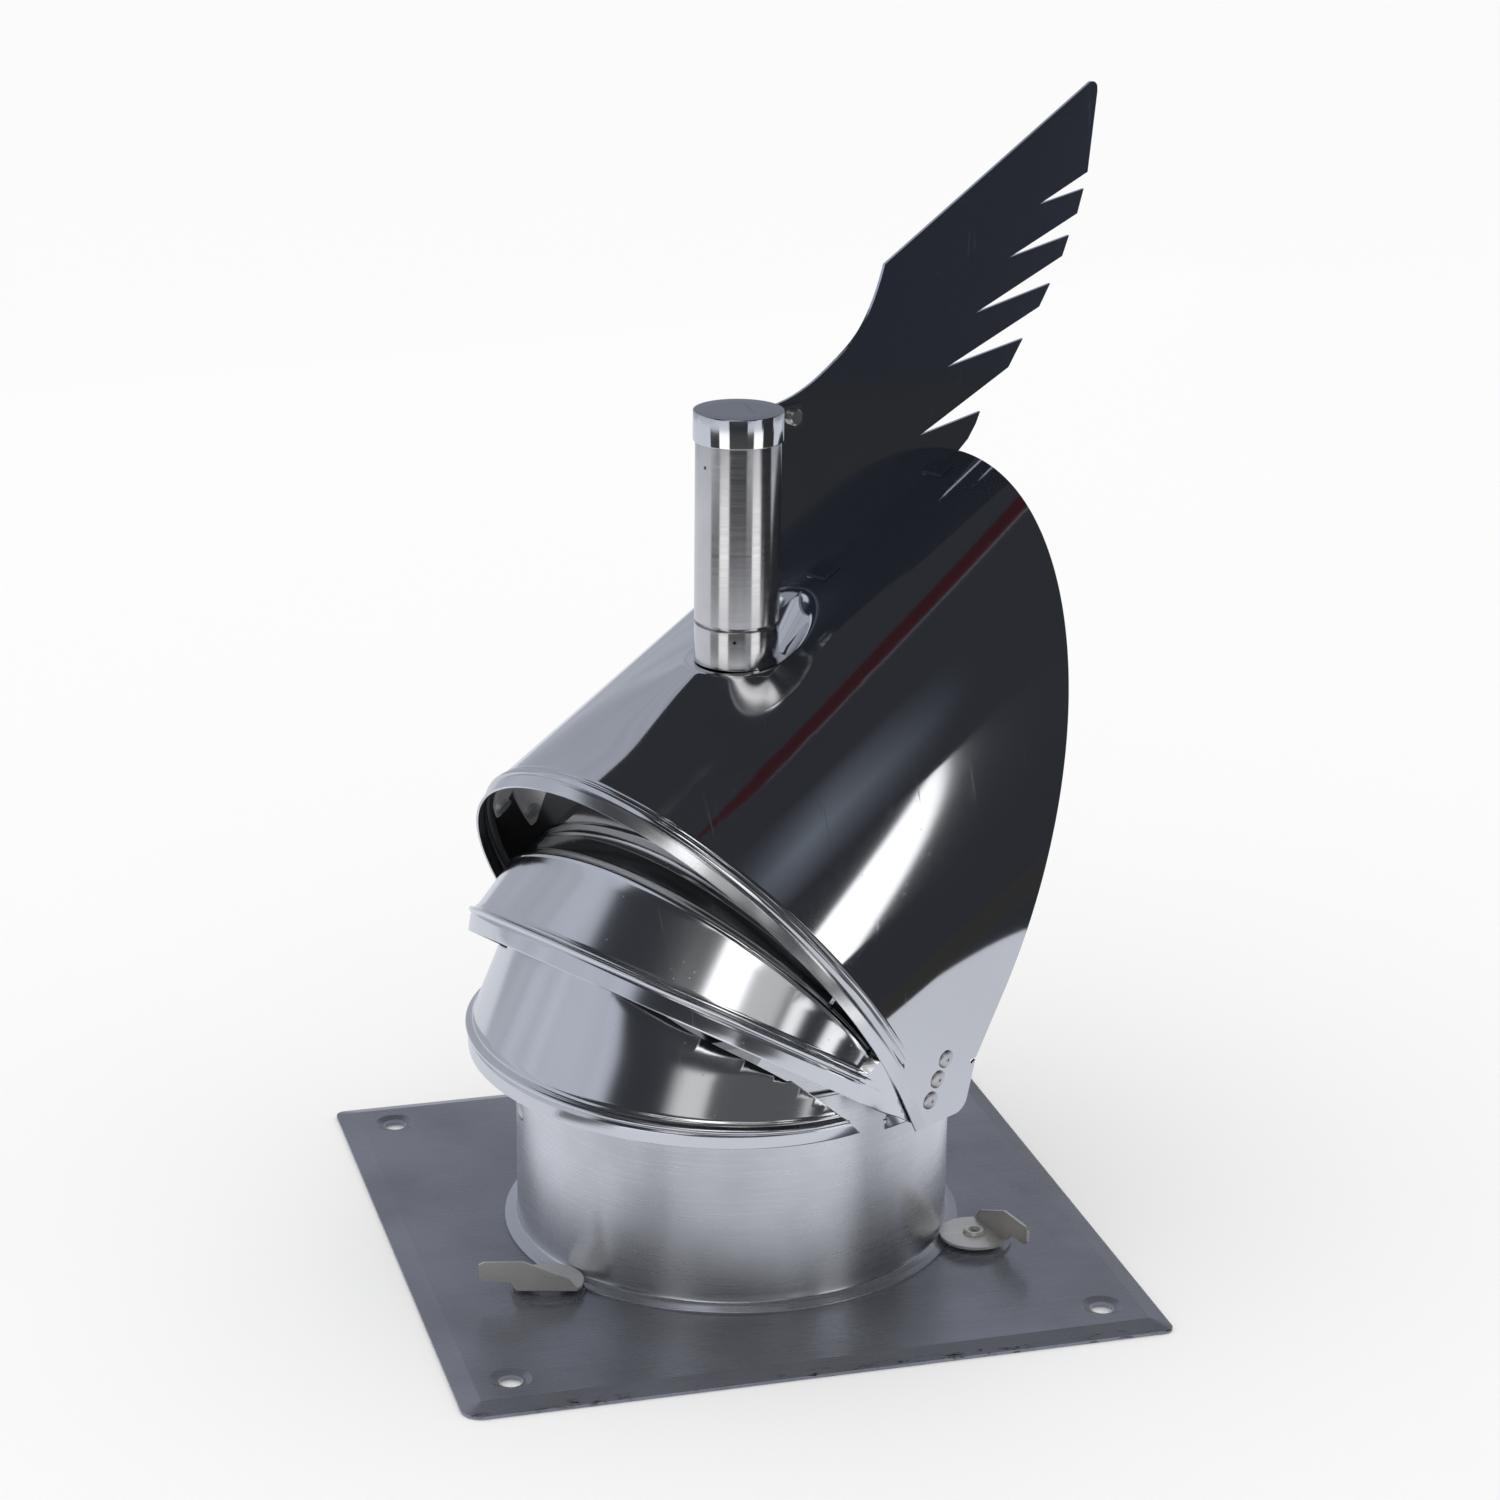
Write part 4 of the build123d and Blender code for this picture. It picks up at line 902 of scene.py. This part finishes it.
def makeSocketRing():
    b = bearing
    low, high = b["ringBase"], b["ringTop"]
    under = low - b["below"]
    profile = [(b["hole"], under), (b["shoulder"], under), (b["shoulder"], low), (b["ring"], low + 0.02),
               (b["ring"], high), (b["spigot"], high), (b["spigot"], high + 8), (b["hole"], high + 8),
               (b["hole"], under)]
    return turned("socketRing", roundCorner(profile, 0.25))


def makeBearingTube():
    b = bearing
    low, high = b["tubeFoot"], b["tubeTop"]
    profile = [(b["bore"], low + 1), (b["bore"], low), (b["tube"], low), (b["tube"], high), (b["bore"], high),
               (b["bore"], low + 1)]
    return turned("bearingTube", roundCorner(profile, 0.22))


def makeTubeCap():
    b = bearing
    low, high = b["tubeTop"], b["capTop"]
    under, plug = high - b["capDeep"], low - b["capPlug"]
    profile = [(0.0, under), (b["capWall"], under), (b["capWall"], plug), (b["spigot"], plug),
               (b["spigot"], low), (b["cap"], low), (b["cap"], high), (0.0, high)]
    profile = roundCorner(profile, 0.35)[:-1]
    # the top is turned very slightly hollow
    profile += [(9.5, high), (6.0, high - 0.03), (2.0, high - 0.04), (0.0, high - 0.04)]
    piece = turned("tubeCap", profile)
    piece.data.materials.append(capSteel)
    piece.data.materials.append(capTopSteel)
    for face in piece.data.polygons:
        if face.normal.z > 0.9 and face.center.z > (high - 0.3) * mm:
            face.material_index = 1
    return piece


finishPiece(makeSocketRing(), "rotor", tubeSteel, "turned_steel", "socket_ring")
finishPiece(makeBearingTube(), "rotor", tubeSteel, "turned_steel", "bearing_tube")
finishPiece(makeTubeCap(), "rotor", capSteel, "mirror_steel", "tube_cap")
print("turned pieces made")

# cheek rivets

# places by the turn from the hood's top, degrees, and along its axis, mm
cheekRivet = {"places": ((108.9, -9.15), (105.5, -4.0), (102.5, 1.4)), "head": 3.2, "height": 1.0, "rim": 0.25,
              "shank": 1.9, "grip": 2.7}


def makeCheekRivets():
    r = cheekRivet
    profile = [(0.0, -r["grip"] - 1.0), (2.3, -r["grip"] - 0.8), (2.4, -r["grip"]), (r["shank"], -r["grip"]),
               (r["shank"], 0.0), (r["head"], 0.0), (r["head"], r["rim"])]
    for degrees in (12, 25, 40, 55, 70, 80):
        angle = math.radians(degrees)
        profile.append((r["head"] * math.cos(angle), r["rim"] + (r["height"] - r["rim"]) * math.sin(angle)))
    # the hole that the broken pin leaves
    profile += [(0.9, r["height"]), (0.8, r["height"] - 0.25), (0.0, r["height"] - 0.3)]
    first = turned("cheekRivets", profile, 40)
    pieces = []
    for side in (1, -1):
        for angle, along in r["places"]:
            turn = math.radians(angle) * side
            reach = sectionRadius(hood["radius"] + 0.02, turn)
            outward = wayOut(min(abs(turn), hood["flatFrom"]) * side)
            matrix = Matrix((hoodAlong, outward.cross(hoodAlong), outward)).transposed().to_4x4()
            matrix.translation = hoodMiddle + (hoodAlong * along + wayOut(turn) * reach) * mm
            copy = first.copy()
            copy.data = first.data.copy()
            bpy.context.collection.objects.link(copy)
            copy.data.transform(matrix)
            pieces.append(copy)
    bpy.data.objects.remove(first)
    return joinPieces(pieces, "cheekRivets")


finishPiece(makeCheekRivets(), "rotor", rivetSteel, "rivet_steel", "cheek_rivets")
print("cheek rivets set")

# CAD nodes that keep their shape

keptNodes = (
    (wingPolishPaintedDark, ("wing",)),
    (capSteel, ("wing_lug",)),
    (plateSteel, ("base_plate", "latch_spacers")),
    (latchSteel, ("left_latch", "right_latch", "rear_latch", "latch_rivets")),
    (hoopSheet, ("crown_hoop",)),
    (rivetSteel, ("hoop_rivets", "strap_rivets")),
    (zincSteel, ("wing_screw", "wing_nut", "spindle_nuts", "spindle_washers", "top_washer", "top_nut")),
    (innerSteel, ("neck_strap", "backing_plate", "spindle", "bearing_spacer",
                  "lower_bearing_inner_ring", "lower_bearing_outer_ring", "lower_bearing_balls",
                  "upper_bearing_inner_ring", "upper_bearing_outer_ring", "upper_bearing_balls")),
    (brass, ("lower_bearing_cage", "upper_bearing_cage")),
)
for material, names in keptNodes:
    for name in names:
        dress(name, material)
print("CAD nodes dressed")

# studio

studio = {"floor": (0.95, 0.95, 0.95), "backdrop": (1.04, 1.04, 1.04), "room": (0.034, 0.037, 0.045),
          "cameraPlace": (-0.3246, -1.1636, 0.5911), "view": (0.2577, 0.9095, -0.3263), "roll": 0.0109,
          "lens": 90.95, "middle": Vector((0, 0, 0.14)), "distance": 1.7, "ceiling": 2.1, "table": 0.0004,
          "paper": (0.93, 0.955, 1.03), "cloth": (0.88, 0.93, 1.05), "dim": (0.92, 0.96, 1.0)}


def makeFloor():
    deselectAll()
    bpy.ops.mesh.primitive_plane_add(size=12, location=(0, 0, -0.0002))
    floor = bpy.context.object
    floor.name = "floor"
    material = bpy.data.materials.new("floorPaper")
    material.use_nodes = True
    shader = next(node for node in material.node_tree.nodes if node.type == "BSDF_PRINCIPLED")
    shader.inputs["Base Color"].default_value = studio["floor"] + (1.0,)
    shader.inputs["Roughness"].default_value = 0.9
    shader.inputs["Specular IOR Level"].default_value = 0.1
    floor.data.materials.append(material)
    # polished steel sees the paper sheets below instead
    floor.visible_glossy = False


def makeGlow(name, strength, color, soft, folds=0.0):
    # light that fades over the share soft of the card towards its edges
    material = bpy.data.materials.new(name)
    material.use_nodes = True
    tree = material.node_tree
    tree.nodes.clear()
    wires = Wiring(tree)
    emission = wires.add("ShaderNodeEmission", Strength=strength)
    emission.inputs["Color"].default_value = tuple(color) + (1.0,)
    output = wires.add("ShaderNodeOutputMaterial")
    if folds:
        # soft upright folds, as in a backcloth
        cloth = wires.stretch(wires.add("ShaderNodeTexCoord").outputs["UV"], (folds, 0.15, 1))
        fold = wires.spread(wires.noise(cloth, 1.0, 3.0, 0.6), 0.35, 0.65, strength * 0.84, strength * 1.1)
        wires.join(fold, emission.inputs["Strength"])
    if soft:
        spot = wires.add("ShaderNodeSeparateXYZ")
        wires.join(wires.add("ShaderNodeTexCoord").outputs["UV"], spot.inputs[0])
        share = None
        for axis in ("X", "Y"):
            middle = wires.math("ABSOLUTE", wires.math("SUBTRACT", spot.outputs[axis], 0.5))
            fade = wires.spread(middle, 0.5, 0.5 - soft)
            share = fade if share is None else wires.math("MULTIPLY", share, fade)
        clear = wires.add("ShaderNodeBsdfTransparent")
        mixed = wires.add("ShaderNodeMixShader")
        wires.join(share, mixed.inputs[0])
        wires.join(clear.outputs[0], mixed.inputs[1])
        wires.join(emission.outputs[0], mixed.inputs[2])
        wires.join(mixed.outputs[0], output.inputs["Surface"])
    else:
        wires.join(emission.outputs[0], output.inputs["Surface"])
    return material


def addCard(name, corners, strength, color=(1, 1, 1), soft=0.0, folds=0.0):
    # four corners round the card, for the metal alone: the floor and the camera don't see it
    deselectAll()
    bpy.ops.mesh.primitive_plane_add(size=1)
    piece = bpy.context.object
    piece.name = piece.data.name = name
    for vert, corner in zip(piece.data.vertices, (corners[0], corners[1], corners[3], corners[2])):
        vert.co = corner
    piece.data.materials.append(makeGlow(name, strength, color, soft, folds))
    piece.visible_camera = piece.visible_diffuse = piece.visible_shadow = False


def lookOut(azimuth, elevation, distance=None):
    flat, steep = math.radians(azimuth), math.radians(elevation)
    way = Vector((math.cos(steep) * math.cos(flat), math.cos(steep) * math.sin(flat), math.sin(steep)))
    return studio["middle"] + way * (distance or studio["distance"])


def skyCard(name, spots, strength, color=(1, 1, 1), soft=0.0, distance=None, folds=0.0):
    # a card by the azimuth and elevation of its corners, seen from the part
    addCard(name, [lookOut(*spot, distance) for spot in spots], strength, color, soft, folds)


def ringCard(name, start, end, strength):
    # a stretch, between two angles, of the ring on the table that the upright tube mirrors
    corners = []
    for angle, radius in ((start, 1.3), (start, 0.6), (end, 0.6), (end, 1.3)):
        turn = math.radians(angle)
        corners.append(Vector((radius * math.cos(turn), radius * math.sin(turn), studio["table"])))
    addCard(name, corners, strength)


def paper(name, corners, strength=0.80):
    addCard(name, [Vector((x, y, -studio["table"])) for x, y in corners], strength, studio["paper"])


def overhead(name, corners, strength, color, soft=0.0):
    addCard(name, [Vector((x, y, studio["ceiling"])) for x, y in corners], strength, color, soft)


def makeRoom():
    # white paper on the table, with its edges to the right and in front
    paper("paperLeft", [(-3, -0.85), (0.34, -0.85), (0.34, 3), (-3, 3)])
    paper("paperBack", [(0.34, -0.09), (3, -0.42), (3, 3), (0.34, 3)])
    paper("paperRight", [(0.34, -0.85), (0.85, -0.85), (0.55, -0.35), (0.34, -0.09)])
    paper("paperFrontLeft", [(-3, -3), (-2.4, -3), (-0.68, -0.85), (-3, -0.85)])
    paper("paperFrontRight", [(0.40, -3), (2.75, -3), (0.85, -0.85), (0.10, -0.85)])
    # pale walls behind and at both sides, and a box overhead
    cloth, dim = studio["cloth"], studio["dim"]
    skyCard("wallBack", [(142, -6), (62, -6), (62, 49), (142, 37)], 0.52, cloth, folds=9.0)
    skyCard("wallLeft", [(-166, -6), (118, -6), (118, 38), (-166, 26)], 0.64, cloth, soft=0.07, distance=1.95,
            folds=11.0)
    skyCard("wallRight", [(60, -6), (-6, -6), (-6, 24), (60, 32)], 0.34, (0.90, 0.94, 1.03))
    skyCard("boxTop", [(-150, 62), (-80, 60), (-92, 80), (-160, 80)], 1.7, soft=0.1)
    # soft boxes: the key over the left shoulder with its side and edge, low ones from left to right, a haze
    skyCard("boxKey", [(-160, 42), (-114, 42), (-110, 62), (-160, 64)], 1.9, soft=0.12)
    skyCard("boxKeySide", [(-118, 37), (-86, 36), (-86, 54), (-116, 56)], 0.62, soft=0.15)
    skyCard("boxEdge", [(-86, 30), (-74, 29), (-74, 44), (-86, 45)], 1.25, soft=0.2)
    skyCard("boxKeyLow", [(-144, 6), (-108, 6), (-108, 31), (-143, 31)], 0.75, soft=0.2)
    skyCard("boxFoot", [(-84, 1), (-68, 2), (-68, 16), (-84, 17)], 0.9, soft=0.2)
    skyCard("boxLow", [(-61, 3), (-49, 6), (-48.5, 25), (-62, 25)], 1.2, soft=0.15)
    skyCard("boxSpear", [(-50, 12), (-42.5, 13), (-46.2, 41), (-47.0, 41)], 1.8)
    skyCard("boxHaze", [(-60, 38), (-47, 42), (-44, 68), (-64, 66)], 0.22, (0.75, 0.85, 1.0), soft=0.48)
    # a dim wall in front and the ceiling's left, so the dark parts keep some light
    skyCard("wallFront", [(-128, -2), (-72, -2), (-72, 30), (-128, 31)], 0.115, dim, soft=0.1)
    skyCard("ceilingLeft", [(-142, 44), (150, 44), (120, 80), (-120, 80)], 0.10, dim, soft=0.1)
    # the ring's light and dark stretches
    ringCard("ringDarkLeft", -180, -154, 0.05)
    ringCard("ringWhiteLeft", -154, -128, 1.5)
    ringCard("ringDarkFront", -128, -97, 0.07)
    ringCard("ringDarkNear", -97, -66, 0.07)
    ringCard("ringWhiteRight", -66, -41, 1.5)
    ringCard("ringDarkRight", -41, -5, 0.04)
    # dark red curtain rail overhead with a pale edge, and a brown door top
    overhead("railRed", [(0.05, -0.30), (0.16, -0.32), (0.33, 0.55), (0.23, 0.57)], 0.045, (1.0, 0.30, 0.38))
    overhead("railEdge", [(0.17, -0.32), (0.175, -0.32), (0.352, 0.55), (0.338, 0.55)], 0.20, (0.9, 0.92, 1.0))
    overhead("doorBrown", [(-0.42, 0.95), (-0.05, 0.85), (0.0, 1.25), (-0.42, 1.30)], 0.10, (1.0, 0.42, 0.18),
             soft=0.3)


def makeWorld():
    world = bpy.data.worlds.new("studio")
    bpy.context.scene.world = world
    world.use_nodes = True
    tree = world.node_tree
    tree.nodes.clear()
    wires = Wiring(tree)
    path = wires.add("ShaderNodeLightPath")
    seen = wires.add("ShaderNodeBackground", Strength=1.0)
    seen.inputs["Color"].default_value = studio["backdrop"] + (1.0,)
    room = wires.add("ShaderNodeBackground", Strength=1.0)
    room.inputs["Color"].default_value = studio["room"] + (1.0,)
    mixed = wires.add("ShaderNodeMixShader")
    wires.join(path.outputs["Is Glossy Ray"], mixed.inputs[0])
    wires.join(seen.outputs[0], mixed.inputs[1])
    wires.join(room.outputs[0], mixed.inputs[2])
    output = wires.add("ShaderNodeOutputWorld")
    wires.join(mixed.outputs[0], output.inputs["Surface"])


def makeCamera():
    # where the photograph was taken from, fitted to the plate's corners and holes
    camera = bpy.data.objects.new("camera", bpy.data.cameras.new("camera"))
    bpy.context.collection.objects.link(camera)
    forward = Vector(studio["view"]).normalized()
    right = forward.cross(upward).normalized()
    up = right.cross(forward)
    roll = studio["roll"]
    side = right * math.cos(roll) + up * math.sin(roll)
    above = up * math.cos(roll) - right * math.sin(roll)
    matrix = Matrix((side, above, -forward)).transposed().to_4x4()
    matrix.translation = Vector(studio["cameraPlace"])
    camera.matrix_world = matrix
    camera.data.lens = studio["lens"]
    camera.data.sensor_width = 36.0
    camera.data.sensor_fit = "HORIZONTAL"
    camera.data.clip_start = 0.05
    camera.data.clip_end = 50.0
    bpy.context.scene.camera = camera


makeFloor()
makeRoom()
makeWorld()
makeCamera()
bpy.context.scene.view_settings.view_transform = "Standard"
bpy.context.scene.view_settings.look = "None"
print("studio ready")
